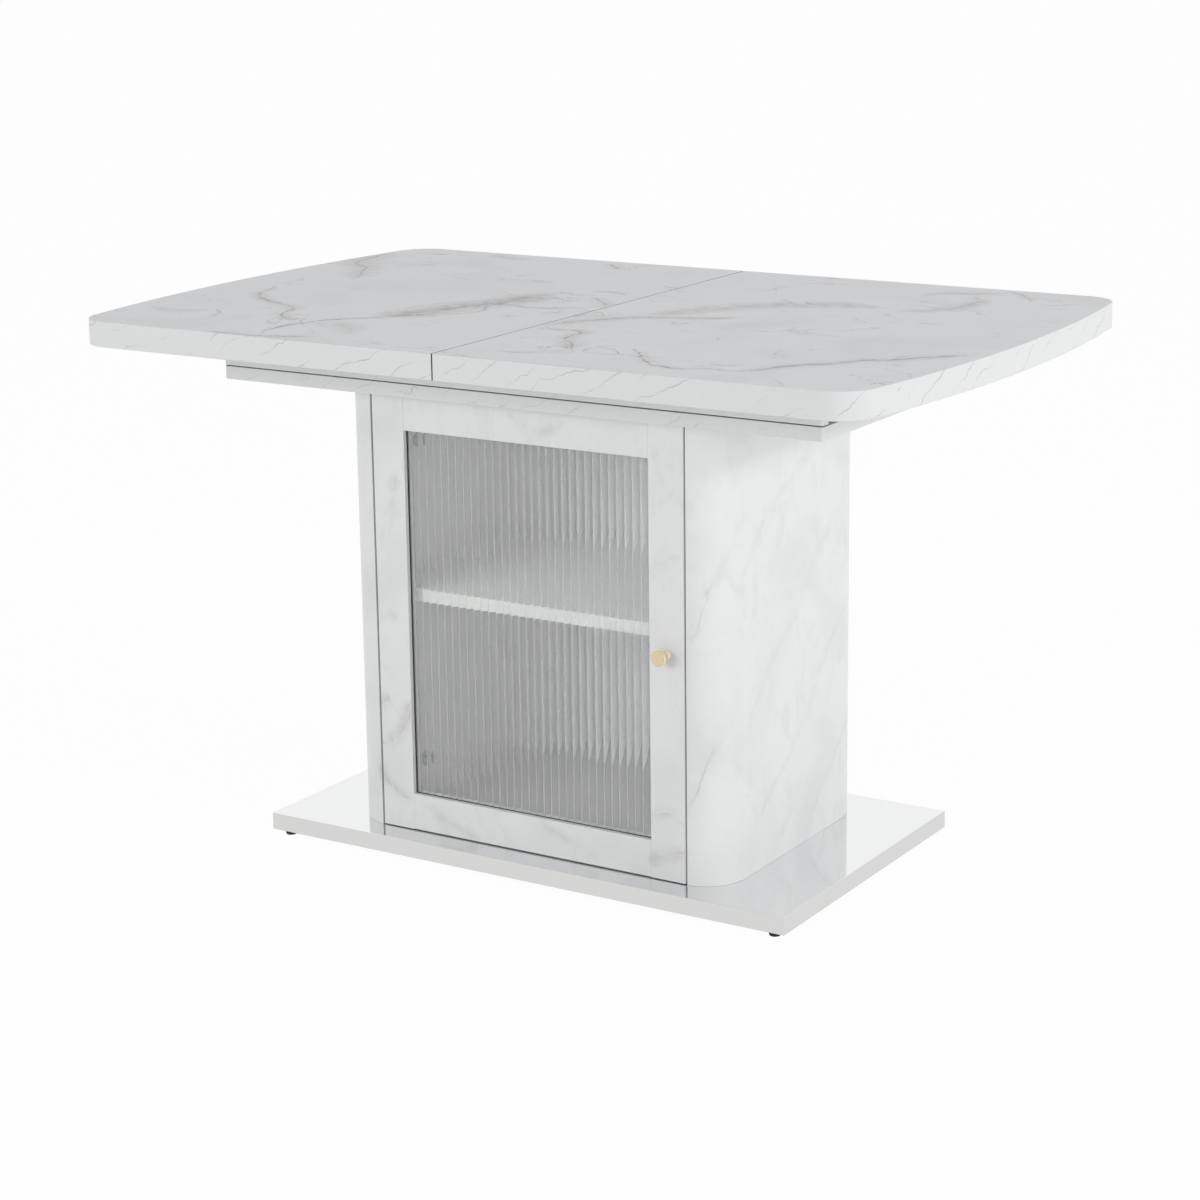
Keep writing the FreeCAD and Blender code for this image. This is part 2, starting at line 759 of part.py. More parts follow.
def build_hinge_plates(screws, holes):
    """The plates on the left gable and the fixed arms that reach into the door's cups."""
    plates = []
    arms = []
    for level in ("hinge_low", "hinge_high"):
        plate_up = (f"{level} - hinge_plate_height / 2", f"{level} + hinge_plate_height / 2")
        plate_span = ("hinge_plate_front", "arm_back")
        plate = box(("-gable_inner", "hinge_plate_face"), plate_span, plate_up)
        block_up = (f"{level} - hinge_block_height / 2", f"{level} + hinge_block_height / 2")
        block = box(("hinge_plate_face", "arm_side"), ("block_front", "arm_back"), block_up)
        plates.append(cut(union([plate, block]), holes))
        arm_up = (f"{level} - arm_height / 2", f"{level} + arm_height / 2")
        bar = box(("arm_side", "arm_side + arm_thickness"), ("hinge_along", "arm_back"), arm_up)
        barrel = rod("z", ("hinge_across", "hinge_along", arm_up[0]), "arm_barrel_radius", "arm_height")
        eye_start = ("hinge_across", "hinge_along", f"{arm_up[0]} - overrun")
        eye = rod("z", eye_start, "hinge_pin_radius + pin_clearance", "arm_height + 2 * overrun")
        arms.append(cut(union([bar, barrel]), [eye]))
    finish(group(plates), "hinge_plates")
    finish(group(arms), "hinge_arms")
    finish(group(screws), "hinge_plate_screws")


def build_catch(screws, holes):
    """The magnetic catch under the deck."""
    length = ("catch_middle - catch_length / 2", "catch_middle + catch_length / 2")
    case = box(length, ("catch_front", "catch_back"), ("catch_bottom", "deck_bottom"))
    magnet_length = ("catch_middle - magnet_length / 2", "catch_middle + magnet_length / 2")
    magnet_up = ("catch_level - magnet_height / 2", "catch_level + magnet_height / 2")
    magnet_end = "catch_front + magnet_depth"
    magnet = box(magnet_length, ("catch_front", magnet_end), magnet_up)
    pocket = box(magnet_length, ("catch_front - overrun", magnet_end), magnet_up)
    finish(cut(case, holes + [pocket]), "catch_housing")
    finish(magnet, "catch_magnet")
    finish(group(screws), "catch_screws")


def hinge_notches():
    """The slots that let the hinge arms swing out through the door's edge."""
    notches = []
    for level in ("hinge_low", "hinge_high"):
        up = (f"{level} - arm_notch_height / 2", f"{level} + arm_notch_height / 2")
        across = ("-door_width / 2 - overrun", "hinge_across")
        notches.append(box(across, ("door_back - arm_notch_depth", "flange_face + overrun"), up))
    return notches


def build_hinge_cups(notches):
    """The cups in the left stile, the upright pins in them, and their screws."""
    cups = []
    pins = []
    screws = []
    holes = []
    for level, notch in zip(("hinge_low", "hinge_high"), notches):
        mouth = ("hinge_across", "door_back", level)
        drum = rod("-y", mouth, "cup_radius", "cup_depth")
        across = ("hinge_across - cup_flange_width / 2", "hinge_across + cup_flange_width / 2")
        up = (f"{level} - cup_flange_height / 2", f"{level} + cup_flange_height / 2")
        flange = box(across, ("door_back", "flange_face"), up)
        outside = ("hinge_across", "flange_face + overrun", level)
        deep = "cup_flange_thickness + overrun + cup_depth - cup_floor"
        hollow = rod("-y", outside, "cup_radius - cup_wall", deep)
        pin_start = ("hinge_across", "hinge_along", f"{level} - cup_radius + hinge_pin_play")
        pins.append(rod("z", pin_start, "hinge_pin_radius", "2 * (cup_radius - hinge_pin_play)"))
        eye_start = ("hinge_across", "hinge_along", f"{level} - cup_radius - overrun")
        eye = rod("z", eye_start, "hinge_pin_radius + pin_clearance", "2 * (cup_radius + overrun)")
        screw_holes = []
        for sign in ("-", "+"):
            seat = ("hinge_across", "flange_face", f"{level} {sign} cup_screw_spacing / 2")
            length = "cup_flange_thickness + small_screw_bite"
            head = ("small_screw_head_radius", "small_screw_head_height")
            screws.append(screw("-y", seat, head, ("small_screw_radius", length)))
            deep_hole = rod("-y", seat, clearance("small_screw_radius"), f"{length} + hole_clearance")
            screw_holes.append(deep_hole)
        cups.append(cut(union([drum, flange]), [hollow, eye, notch] + screw_holes))
        cup_hole = rod("-y", mouth, clearance("cup_radius"), "cup_depth + hole_clearance")
        holes += screw_holes + [cup_hole]
    finish(group(cups), "hinge_cups")
    finish(group(pins), "hinge_pins")
    finish(group(screws), "hinge_cup_screws")
    return holes


def build_door_frame(left_cuts, right_cuts):
    """Two stiles that run the full height and two rails between them."""
    rebate_up = ("sight_bottom - glass_rebate", "sight_top + glass_rebate")
    rebate_across = both_sides("sight_half + glass_rebate")
    rebate = box(rebate_across, ("rebate_front", "door_back + overrun"), rebate_up)
    height = "door_top - door_bottom"
    stile = [
        ("sight_half", "cabinet_front"),
        ("door_width / 2 - door_edge_round", "cabinet_front", "door_edge_round", "left"),
        ("door_width / 2", "cabinet_front + door_edge_round"),
        ("door_width / 2", "door_back"),
        ("sight_half", "door_back"),
    ]
    right = prism("XY_Plane", stile, "door_bottom", height)
    finish(cut(right, [rebate] + right_cuts), "door_stile_right")
    mirrored = [(minus(corner[0]), *corner[1:3], "right") if len(corner) > 2 else
                (minus(corner[0]), corner[1]) for corner in stile]
    left = prism("XY_Plane", mirrored, "door_bottom", height)
    finish(cut(left, [rebate] + left_cuts), "door_stile_left")
    rails = (("door_rail_top", "sight_top", "door_top", "-", "right"),
             ("door_rail_bottom", "sight_bottom", "door_bottom", "+", "left"))
    for name, inner, outer, sign, turn in rails:
        rail = [
            ("door_back", outer),
            ("door_back", inner),
            ("cabinet_front", inner),
            ("cabinet_front", f"{outer} {sign} door_edge_round", "door_edge_round", turn),
            ("cabinet_front + door_edge_round", outer),
        ]
        board = prism("YZ_Plane", rail, "-sight_half", "2 * sight_half")
        finish(cut(board, [rebate]), name)


def build_glazing():
    """Reeded pane, the black gasket in front of it and the beads behind it."""
    pane_span = ("sight_bottom - pane_lap", "sight_top + pane_lap")
    height = f"({pane_span[1]}) - ({pane_span[0]})"
    pane = prism("XY_Plane", [
        ("-pane_half", "pane_front"),
        ("pane_half", "pane_front"),
        ("pane_half", "pane_back"),
        ("-pane_half", "pane_back"),
    ], pane_span[0], height)
    first = "-rib_count * rib_pitch / 2"
    rib_outline = new_sketch(pane, "XY_Plane", [
        (first, "pane_front", "rib_radius", "left"),
        (f"{first} + rib_pitch", "pane_front"),
    ], pane_span[0])
    rib = pane.newObject("PartDesign::Pad", "rib")
    rib.Profile = rib_outline
    bind(rib, "Length", height)
    document.recompute()
    ribs = pane.newObject("PartDesign::LinearPattern", "ribs")
    ribs.Originals = [rib]
    ribs.Direction = (rib_outline, ["H_Axis"])
    bind(ribs, "Length", "(rib_count - 1) * rib_pitch")
    bind(ribs, "Occurrences", "rib_count")
    pane.Tip = ribs
    finish(pane, "door_glass")
    seal_span = ("rebate_front", "rebate_front + gasket_thickness")
    seal_up = ("sight_bottom - gasket_lap", "sight_top + gasket_lap")
    seal = box(both_sides("sight_half + gasket_lap"), seal_span, seal_up)
    window_span = ("rebate_front - overrun", "rebate_front + gasket_thickness + overrun")
    window_up = ("sight_bottom + gasket_show", "sight_top - gasket_show")
    window = box(both_sides("sight_half - gasket_show"), window_span, window_up)
    finish(cut(seal, [window]), "glass_gasket")
    bead_span = ("pane_back", "door_back")
    beads = []
    for side in (-1, 1):
        across = side_span(side, "sight_half", "sight_half + gasket_lap")
        beads.append(box(across, bead_span, seal_up))
    for up in ((seal_up[0], "sight_bottom"), ("sight_top", seal_up[1])):
        beads.append(box(both_sides("sight_half"), bead_span, up))
    finish(group(beads), "glazing_beads")


def build_knob():
    """Brass knob on the right stile, its screw, and the hole for the screw."""
    length = "door_thickness + knob_bore_depth - overrun"
    profile = [
        ("0", "0"),
        ("0", "-knob_length"),
        ("knob_face_radius", "-knob_length"),
        ("knob_radius", "-knob_head_end"),
        ("knob_radius", "-knob_head_start"),
        ("knob_neck_radius", "-knob_neck_end"),
        ("knob_neck_radius", "-knob_neck_start"),
        ("knob_base_radius", "-knob_base_height"),
        ("knob_base_radius", "0"),
    ]
    knob = turned("XY_Plane", profile)
    put(knob, "knob_across", "cabinet_front", "door_middle")
    seat = ("knob_across", "door_back", "door_middle")
    start = ("knob_across", "door_back + overrun", "door_middle")
    deep = "door_thickness + knob_bore_depth + overrun"
    hole = rod("-y", start, clearance("knob_screw_radius"), deep)
    finish(cut(knob, [hole]), "door_knob")
    head = ("knob_screw_head_radius", "knob_screw_head_height")
    finish(screw("-y", seat, head, ("knob_screw_radius", length)), "knob_screw")
    return hole


def build_door():
    """The whole door: hinge cups, frame, glazing, knob and strike plate."""
    notches = hinge_notches()
    cup_holes = build_hinge_cups(notches)
    knob_hole = build_knob()
    build_door_frame(notches + cup_holes, [knob_hole])
    build_glazing()
    across = ("catch_middle - strike_length / 2", "catch_middle + strike_length / 2")
    up = ("catch_level - strike_height / 2", "catch_level + strike_height / 2")
    finish(box(across, ("door_back", "door_back + strike_thickness"), up), "strike_plate")


def apron_screw_parts():
    """The screws from under the carrier board into the apron rails, and their holes."""
    spots = []
    for along in both_sides("apron_inner + apron_thickness / 2"):
        spots += [(f"carrier_length / 2 * {share}", along) for share in long_rail_shares]
    for across in both_sides("carrier_length / 2 - apron_thickness / 2"):
        spots += [(across, f"(apron_inner - foot_front) * {share}") for share in short_rail_shares]
    screws = []
    holes = []
    length = "carrier_thickness - apron_screw_sink + apron_screw_bite"
    for across, along in spots:
        seat = (across, along, "carrier_bottom + apron_screw_sink")
        head = ("apron_screw_head_radius", "apron_screw_head_height")
        screws.append(screw("z", seat, head, ("apron_screw_radius", length)))
        wide_head = (clearance("apron_screw_head_radius"), "apron_screw_sink + overrun")
        holes.append(screw("z", seat, wide_head, (clearance("apron_screw_radius"), f"{length} + overrun")))
    return screws, holes


def apron_groove():
    """The narrow shadow groove that runs round the foot of the apron rails."""
    up = ("carrier_top", "carrier_top + apron_groove_height")
    outer = box(both_sides("carrier_length / 2 + overrun"), both_sides("carrier_width / 2 + overrun"), up)
    inner_length = both_sides("carrier_length / 2 - apron_groove_depth")
    inner_width = both_sides("carrier_width / 2 - apron_groove_depth")
    return cut(outer, [box(inner_length, inner_width, up)])


def build_box(bolts, bolt_holes):
    """Carrier board, apron rails and their fasteners."""
    radius = "carrier_corner_radius"
    half_length = "carrier_length / 2"
    half_width = "carrier_width / 2"
    screws, screw_holes = apron_screw_parts()
    board = prism("XY_Plane", [
        (f"-{half_length} + {radius}", f"-{half_width}"),
        (f"{half_length} - {radius}", f"-{half_width}", radius, "left"),
        (half_length, f"-{half_width} + {radius}"),
        (half_length, f"{half_width} - {radius}", radius, "left"),
        (f"{half_length} - {radius}", half_width),
        (f"-{half_length} + {radius}", half_width, radius, "left"),
        (f"-{half_length}", f"{half_width} - {radius}"),
        (f"-{half_length}", f"-{half_width} + {radius}", radius, "left"),
    ], "carrier_bottom", "carrier_thickness")
    finish(cut(board, bolt_holes + screw_holes), "carrier_board")
    finish(group(bolts), "carrier_bolts")
    finish(group(screws), "apron_screws")
    outline = [
        (f"-{half_length} + {radius}", f"-{half_width}"),
        (f"{half_length} - {radius}", f"-{half_width}", radius, "left"),
        (half_length, f"-{half_width} + {radius}"),
        (half_length, "-apron_inner"),
        (f"-{half_length}", "-apron_inner"),
        (f"-{half_length}", f"-{half_width} + {radius}", radius, "left"),
    ]
    cuts = screw_holes + [apron_groove()]
    for name in ("front_apron_rail", "back_apron_rail"):
        rail = prism("XY_Plane", outline, "carrier_top", "apron_height")
        if name == "back_apron_rail":
            half_turn(rail)
        finish(cut(rail, cuts), name)
    for side, name in ((-1, "left_apron_rail"), (1, "right_apron_rail")):
        across = side_span(side, f"{half_length} - apron_thickness", half_length)
        along = both_sides("apron_inner - foot_front - end_rail_clearance")
        finish(cut(box(across, along, ("carrier_top", "apron_top")), cuts), name)


def slide_outline(side, corners):
    """An outline seen along the table, given by distances inwards from the apron rail."""
    return [(on_side(side, f"apron_inner - ({inwards})"), up) for inwards, up in corners]


def channel_outline(side):
    """Section of a slide channel, open towards the middle of the box."""
    low = "slide_level - channel_height / 2"
    high = "slide_level + channel_height / 2"
    mouth_low = "slide_level - channel_mouth / 2"
    mouth_high = "slide_level + channel_mouth / 2"
    lip = "channel_depth - channel_wall"
    return slide_outline(side, [
        ("0", low),
        ("channel_depth", low),
        ("channel_depth", mouth_low),
        (lip, mouth_low),
        (lip, f"{low} + channel_wall"),
        ("channel_wall", f"{low} + channel_wall"),
        ("channel_wall", f"{high} - channel_wall"),
        (lip, f"{high} - channel_wall"),
        (lip, mouth_high),
        ("channel_depth", mouth_high),
        ("channel_depth", high),
        ("0", high),
    ])


def runner_outline(side):
    """Section of a runner: a bar in the channel, a web, and a foot under the top."""
    web_low = "slide_level - runner_web_height / 2"
    web_high = "slide_level + runner_web_height / 2"
    return slide_outline(side, [
        ("bar_back", "slide_level - bar_half"),
        ("bar_front", "slide_level - bar_half"),
        ("bar_front", web_low),
        ("flange_front", web_low),
        ("flange_front", "foot_under"),
        ("foot_front", "foot_under"),
        ("foot_front", "top_underside"),
        ("flange_back", "top_underside"),
        ("flange_back", web_high),
        ("bar_front", web_high),
        ("bar_front", "slide_level + bar_half"),
        ("bar_back", "slide_level + bar_half"),
    ])


def build_slides():
    """The two channels fixed in the box."""
    for side, name in ((-1, "front_slide_channel"), (1, "back_slide_channel")):
        finish(prism("YZ_Plane", channel_outline(side), "-channel_length / 2", "channel_length"), name)


def build_top_half(side, name, pin_holes):
    """One half of the top with its two runners and their screws."""
    half = prism("XY_Plane", [
        ("split_gap / 2", "-top_width / 2"),
        ("corner_start", "-top_width / 2", "top_corner_radius", "left"),
        ("bow_end_across", "-bow_end_along", "top_end_radius", "left"),
        ("bow_end_across", "bow_end_along", "top_corner_radius", "left"),
        ("corner_start", "top_width / 2"),
        ("split_gap / 2", "top_width / 2"),
    ], "top_underside", "top_thickness")
    round_edges(half, "top_edge_round")
    if side < 0:
        half_turn(half)
    runners = []
    screws = []
    holes = []
    length = "runner_foot_thickness + top_screw_bite"
    near = "runner_end_gap"
    far = "runner_end_gap + runner_length"
    for edge in (-1, 1):
        start, _ = side_span(side, near, far)
        runner = prism("YZ_Plane", runner_outline(edge), start, "runner_length")
        own_holes = []
        for across in (f"{near} + runner_screw_inset", f"({near} + {far}) / 2", f"{far} - runner_screw_inset"):
            seat = (on_side(side, across), on_side(edge, "apron_inner - foot_screw_line"), "foot_under")
            head = ("top_screw_head_radius", "top_screw_head_height")
            screws.append(screw("z", seat, head, ("top_screw_radius", length)))
            start_hole = (seat[0], seat[1], "foot_under - hole_clearance")
            deep = f"{length} + 2 * hole_clearance"
            own_holes.append(rod("z", start_hole, clearance("top_screw_radius"), deep))
        runners.append(cut(runner, own_holes))
        holes += own_holes
    finish(cut(half, holes + pin_holes), f"{name}_top")
    finish(group(runners), f"{name}_runners")
    finish(group(screws), f"{name}_runner_screws")


def build_top():
    """Both halves of the top and the pins that line them up when they meet."""
    pins = []
    holes = []
    for along in ("-top_pin_spacing", "0", "top_pin_spacing"):
        start = ("-top_pin_depth", along, "top_middle")
        pins.append(rod("x", start, "top_pin_radius", "2 * top_pin_depth"))
        deep_start = ("-top_pin_depth - hole_clearance", along, "top_middle")
        deep = "2 * top_pin_depth + overrun"
        holes.append(rod("x", deep_start, clearance("top_pin_radius"), deep))
    build_top_half(-1, "left", holes)
    build_top_half(1, "right", holes)
    finish(group(pins), "top_pins")


def build_leaf():
    """The folded leaf that lies in the box on felt pads."""
    size = (both_sides("leaf_half_width"), both_sides("leaf_half_depth"))
    finish(box(*size, ("leaf_bottom", "leaf_fold")), "leaf_lower_panel")
    finish(box(*size, ("leaf_fold", "leaf_fold + leaf_thickness")), "leaf_upper_panel")
    pads = []
    for across in both_sides("leaf_half_width - leaf_pad_inset"):
        for along in both_sides("leaf_half_depth - leaf_pad_inset"):
            pads.append(rod("z", (across, along, "carrier_top"), "leaf_pad_radius", "leaf_pad_height"))
    finish(group(pads), "leaf_pads")
    hinges = []
    plate_out = "leaf_half_depth + leaf_hinge_plate"
    for middle in both_sides("leaf_hinge_spacing / 2"):
        across = (f"{middle} - leaf_hinge_length / 2", f"{middle} + leaf_hinge_length / 2")
        up = ("leaf_fold - leaf_hinge_rise", "leaf_fold + leaf_hinge_rise")
        plate = box(across, ("leaf_half_depth", plate_out), up)
        barrel = rod("x", (across[0], plate_out, "leaf_fold"), "leaf_hinge_barrel", "leaf_hinge_length")
        clear = box(across, ("leaf_half_depth - leaf_hinge_barrel", "leaf_half_depth"), up)
        hinges.append(union([plate, cut(barrel, [clear])]))
    finish(group(hinges), "leaf_hinges")


def check_and_write():
    """Stop on any failed object, then write every sub-part to its own file."""
    document.recompute()
    for item in document.Objects:
        if "Invalid" in item.State or "Error" in item.State:
            raise RuntimeError(f"{item.Label} failed: {item.State}")
    for item in finished:
        if item.Shape.isNull() or not item.Shape.isValid():
            raise RuntimeError(f"{item.Label} has no valid shape")
    os.makedirs("parts", exist_ok=True)
    for item in finished:
        item.Shape.exportStep(f"parts/{item.Label}.step")
        print(item.Label, len(item.Shape.Solids), round(item.Shape.Volume))


sizes = make_sheet()
build_base()
carrier_bolts, carrier_bolt_holes = build_cabinet()
build_door()
build_box(carrier_bolts, carrier_bolt_holes)
build_slides()
build_leaf()
build_top()
check_and_write()
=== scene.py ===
"""Looks for the kitchen table with storage cabinet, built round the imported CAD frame.

Every piece is in metres, in the frame of the CAD model: x along the table, -y to the front, z up.
"""

import json
import logging
import math
from dataclasses import dataclass
from enum import Enum
from typing import Union

import bmesh
import bpy
from mathutils import Matrix, Vector

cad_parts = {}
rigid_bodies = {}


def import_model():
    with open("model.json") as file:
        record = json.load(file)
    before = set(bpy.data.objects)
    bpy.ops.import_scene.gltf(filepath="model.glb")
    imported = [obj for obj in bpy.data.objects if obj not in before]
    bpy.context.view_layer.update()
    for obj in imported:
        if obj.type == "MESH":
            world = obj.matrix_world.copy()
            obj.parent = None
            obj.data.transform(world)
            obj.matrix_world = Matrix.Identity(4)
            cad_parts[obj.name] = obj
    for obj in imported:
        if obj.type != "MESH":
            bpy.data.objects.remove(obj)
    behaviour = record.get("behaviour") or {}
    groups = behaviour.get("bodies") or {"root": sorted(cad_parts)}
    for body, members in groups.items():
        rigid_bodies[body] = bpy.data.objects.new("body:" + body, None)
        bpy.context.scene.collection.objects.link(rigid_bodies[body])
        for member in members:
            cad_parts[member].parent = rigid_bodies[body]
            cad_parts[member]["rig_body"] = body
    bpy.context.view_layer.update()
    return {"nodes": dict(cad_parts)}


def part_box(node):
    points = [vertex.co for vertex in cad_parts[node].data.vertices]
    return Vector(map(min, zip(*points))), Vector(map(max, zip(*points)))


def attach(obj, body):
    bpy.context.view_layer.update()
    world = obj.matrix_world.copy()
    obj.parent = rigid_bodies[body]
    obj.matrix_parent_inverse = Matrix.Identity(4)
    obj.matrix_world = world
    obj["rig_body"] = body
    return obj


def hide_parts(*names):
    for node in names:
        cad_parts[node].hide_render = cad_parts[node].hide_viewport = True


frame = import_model()

MM = 0.001
X_AXIS, Y_AXIS, Z_AXIS = range(3)
RIB_PITCH = 12 * MM
LOG = logging.getLogger("table_scene")

Colour = tuple[float, float, float]
Point = tuple[float, float, float]
PlanPoint = tuple[float, float]
Material = bpy.types.Material
Mesh = bpy.types.Mesh
Node = bpy.types.Node
Socket = bpy.types.NodeSocket
Value = Union[Socket, float, Point]


# Node trees


def with_alpha(value: Value) -> Value:
    """Return a plain colour with full alpha, and anything else as it is."""
    return (*value, 1.0) if isinstance(value, tuple) else value


class NodeSheet:
    """A node tree, with short calls for the nodes that shaders and shapes share."""

    def __init__(self, tree: bpy.types.NodeTree) -> None:
        """Keep the tree that the calls add to."""
        self.tree = tree

    def join(self, source: Socket, target: Socket) -> None:
        """Link one socket to another."""
        self.tree.links.new(source, target)

    def feed(self, target: Socket, value: Value) -> None:
        """Fill one input of a node.

        Args:
            target: the input.
            value: a socket to link to it, or a plain value to set on it.
        """
        if isinstance(value, Socket):
            self.join(value, target)
        else:
            target.default_value = value

    def add(self, kind: str, **inputs: Value) -> Node:
        """Add a node; each keyword fills the input of that name, with _ for a space.

        Args:
            kind: Blender's name of the node.
            inputs: a socket to link or a value to set, by input name.

        Returns:
            The node.
        """
        node = self.tree.nodes.new(kind)
        for name, value in inputs.items():
            self.feed(node.inputs[name.replace("_", " ")], value)
        return node

    def worked(self, kind: str, operation: str, *values: Value) -> Node:
        """Add a node that does one operation.

        Args:
            kind: Blender's name of the node.
            operation: Blender's name of the operation.
            values: what fills the node's inputs, in order.

        Returns:
            The node.
        """
        node = self.add(kind)
        node.operation = operation
        for target, value in zip(node.inputs, values):
            self.feed(target, value)
        return node

    def math(self, operation: str, first: Value, second: Value = 0.0) -> Socket:
        """Return one Math node's result."""
        return self.worked("ShaderNodeMath", operation, first, second).outputs["Value"]

    def times(self, first: Value, second: Value) -> Socket:
        """Return the product of two numbers."""
        return self.math("MULTIPLY", first, second)

    def apart(self, first: Value, second: Value) -> Socket:
        """Return how far two numbers are apart."""
        return self.math("ABSOLUTE", self.math("SUBTRACT", first, second))

    def point(self, x: Value = 0.0, y: Value = 0.0, z: Value = 0.0) -> Socket:
        """Return a vector made of three numbers."""
        return self.add("ShaderNodeCombineXYZ", X=x, Y=y, Z=z).outputs["Vector"]

    def axes(self, vector: Socket) -> tuple[Socket, Socket, Socket]:
        """Return the x, y and z parts of a vector."""
        parts = self.add("ShaderNodeSeparateXYZ", Vector=vector).outputs
        return parts["X"], parts["Y"], parts["Z"]

    def mix_shaders(self, share: Socket, first: Socket, second: Socket, target: Socket) -> None:
        """Mix two shaders into a target.

        Args:
            share: 0 for the first shader alone, 1 for the second.
            first: the first shader.
            second: the second shader.
            target: the input that takes the mix.
        """
        mix = self.add("ShaderNodeMixShader", Fac=share)
        self.join(first, mix.inputs[1])
        self.join(second, mix.inputs[2])
        self.join(mix.outputs["Shader"], target)


class ShaderSheet(NodeSheet):
    """One material's node tree, which starts with one Principled shader."""

    mix_places = {"FLOAT": ((0, 2, 3), 0), "RGBA": ((0, 6, 7), 2)}

    def __init__(self, name: str) -> None:
        """Start the material.

        Args:
            name: the material's name.
        """
        self.material = bpy.data.materials.new(name)
        self.material.use_nodes = True
        super().__init__(self.material.node_tree)
        self.tree.nodes.clear()
        self.output = self.add("ShaderNodeOutputMaterial")
        self.shader = self.add("ShaderNodeBsdfPrincipled")
        self.join(self.shader.outputs["BSDF"], self.output.inputs["Surface"])

    def surface(self, **values: Value) -> None:
        """Set or link the Principled shader's own sockets, named as in add."""
        for name, value in values.items():
            self.feed(self.shader.inputs[name.replace("_", " ")], with_alpha(value))

    def place(self) -> Socket:
        """Return the Object coordinates."""
        return self.add("ShaderNodeTexCoord").outputs["Object"]

    def facing(self, axis: int) -> Socket:
        """Return how squarely the surface looks along one of the piece's own axes, from 0 to 1."""
        normal = self.add("ShaderNodeTexCoord").outputs["Normal"]
        return self.math("ABSOLUTE", self.axes(normal)[axis])

    def vector(self, operation: str, first: Value, second: Value) -> Node:
        """Add one Vector Math node and fill its first two inputs."""
        return self.worked("ShaderNodeVectorMath", operation, first, second)

    def moved(self, first: Value, second: Value) -> Socket:
        """Return the sum of two vectors."""
        return self.vector("ADD", first, second).outputs["Vector"]

    def stretched(self, vector: Value, factors: Point) -> Socket:
        """Return a vector with each axis times its own factor."""
        return self.vector("MULTIPLY", vector, factors).outputs["Vector"]

    def noise(self, place: Socket, scale: float, detail: float, twist: float, rough: float) -> Node:
        """Add a noise texture, whose settings are those of Grain."""
        return self.add(
            "ShaderNodeTexNoise", Vector=place, Scale=scale, Detail=detail, Distortion=twist, Roughness=rough,
        )

    def fade(
        self, value: Value, near: float, far: float, at_near: float = 1.0, at_far: float = 0.0,
    ) -> Socket:
        """Return a smooth change from one value to another.

        Args:
            value: the number that drives the change.
            near: where the change starts.
            far: where it ends.
            at_near: the result at the start.
            at_far: the result at the end.

        Returns:
            The result's socket.
        """
        node = self.add(
            "ShaderNodeMapRange", Value=value, From_Min=near, From_Max=far, To_Min=at_near, To_Max=at_far,
        )
        node.interpolation_type = "SMOOTHSTEP"
        return node.outputs["Result"]

    def mix(self, kind: str, *values: Value) -> Socket:
        """Return a mix of two numbers or colours.

        Args:
            kind: FLOAT for numbers or RGBA for colours; mix_places has the sockets of each.
            values: the share, from 0 for the first to 1 for the second, and then the two.

        Returns:
            The socket of the mix.
        """
        node = self.add("ShaderNodeMix")
        node.data_type = kind
        places, result = self.mix_places[kind]
        for place, value in zip(places, values):
            self.feed(node.inputs[place], with_alpha(value))
        return node.outputs[result]

    def tint(self, share: Value, first: Value, second: Value) -> Socket:
        """Return a mix of two colours; share 0 gives the first."""
        return self.mix("RGBA", share, first, second)

    def bump(self, height: Socket, depth: float, strength: float) -> None:
        """Raise the surface by a height between 0 and 1, which stands for the depth in metres."""
        node = self.add("ShaderNodeBump", Strength=strength, Distance=depth, Height=height)
        self.join(node.outputs["Normal"], self.shader.inputs["Normal"])

    def curve(self, value: Socket, bends: list[PlanPoint]) -> Socket:
        """Return the height of a smooth curve.

        Args:
            value: the place along the curve, from 0 to 1.
            bends: the place and height of each bend, both from 0 to 1.

        Returns:
            The height's socket.
        """
        node = self.add("ShaderNodeFloatCurve", Value=value)
        line = node.mapping.curves[0]
        while len(line.points) < len(bends):
            line.points.new(0.5, 0.5)
        for point, bend in zip(line.points, bends):
            point.location = bend
        node.mapping.update()
        return node.outputs["Value"]


# Patterns that the finishes share


@dataclass(frozen=True)
class Grain:
    """A noise pattern that fades from weak to strong between two of its levels.

    waves counts waves in a metre, for all axes or for each, and detail counts finer layers. twist is how far
    the noise bends itself, and rough the strength of each finer layer beside the one before it.
    """

    waves: Union[float, Point]
    detail: float = 4.0
    twist: float = 0.0
    rough: float = 0.5
    low: float = 0.35
    high: float = 0.70
    weak: float = 0.0
    strong: float = 1.0

    def levels(self, sheet: ShaderSheet, place: Socket) -> Socket:
        """Return the bare noise.

        Args:
            sheet: the material's sheet.
            place: the coordinates that the noise reads.

        Returns:
            Its level, which is about a half on average.
        """
        scale = self.waves
        if isinstance(scale, tuple):
            place = sheet.stretched(place, scale)
            scale = 1.0
        return sheet.noise(place, scale, self.detail, self.twist, self.rough).outputs["Fac"]

    def shown(self, sheet: ShaderSheet, place: Socket) -> Socket:
        """Return the faded pattern."""
        return sheet.fade(self.levels(sheet, place), self.low, self.high, self.weak, self.strong)


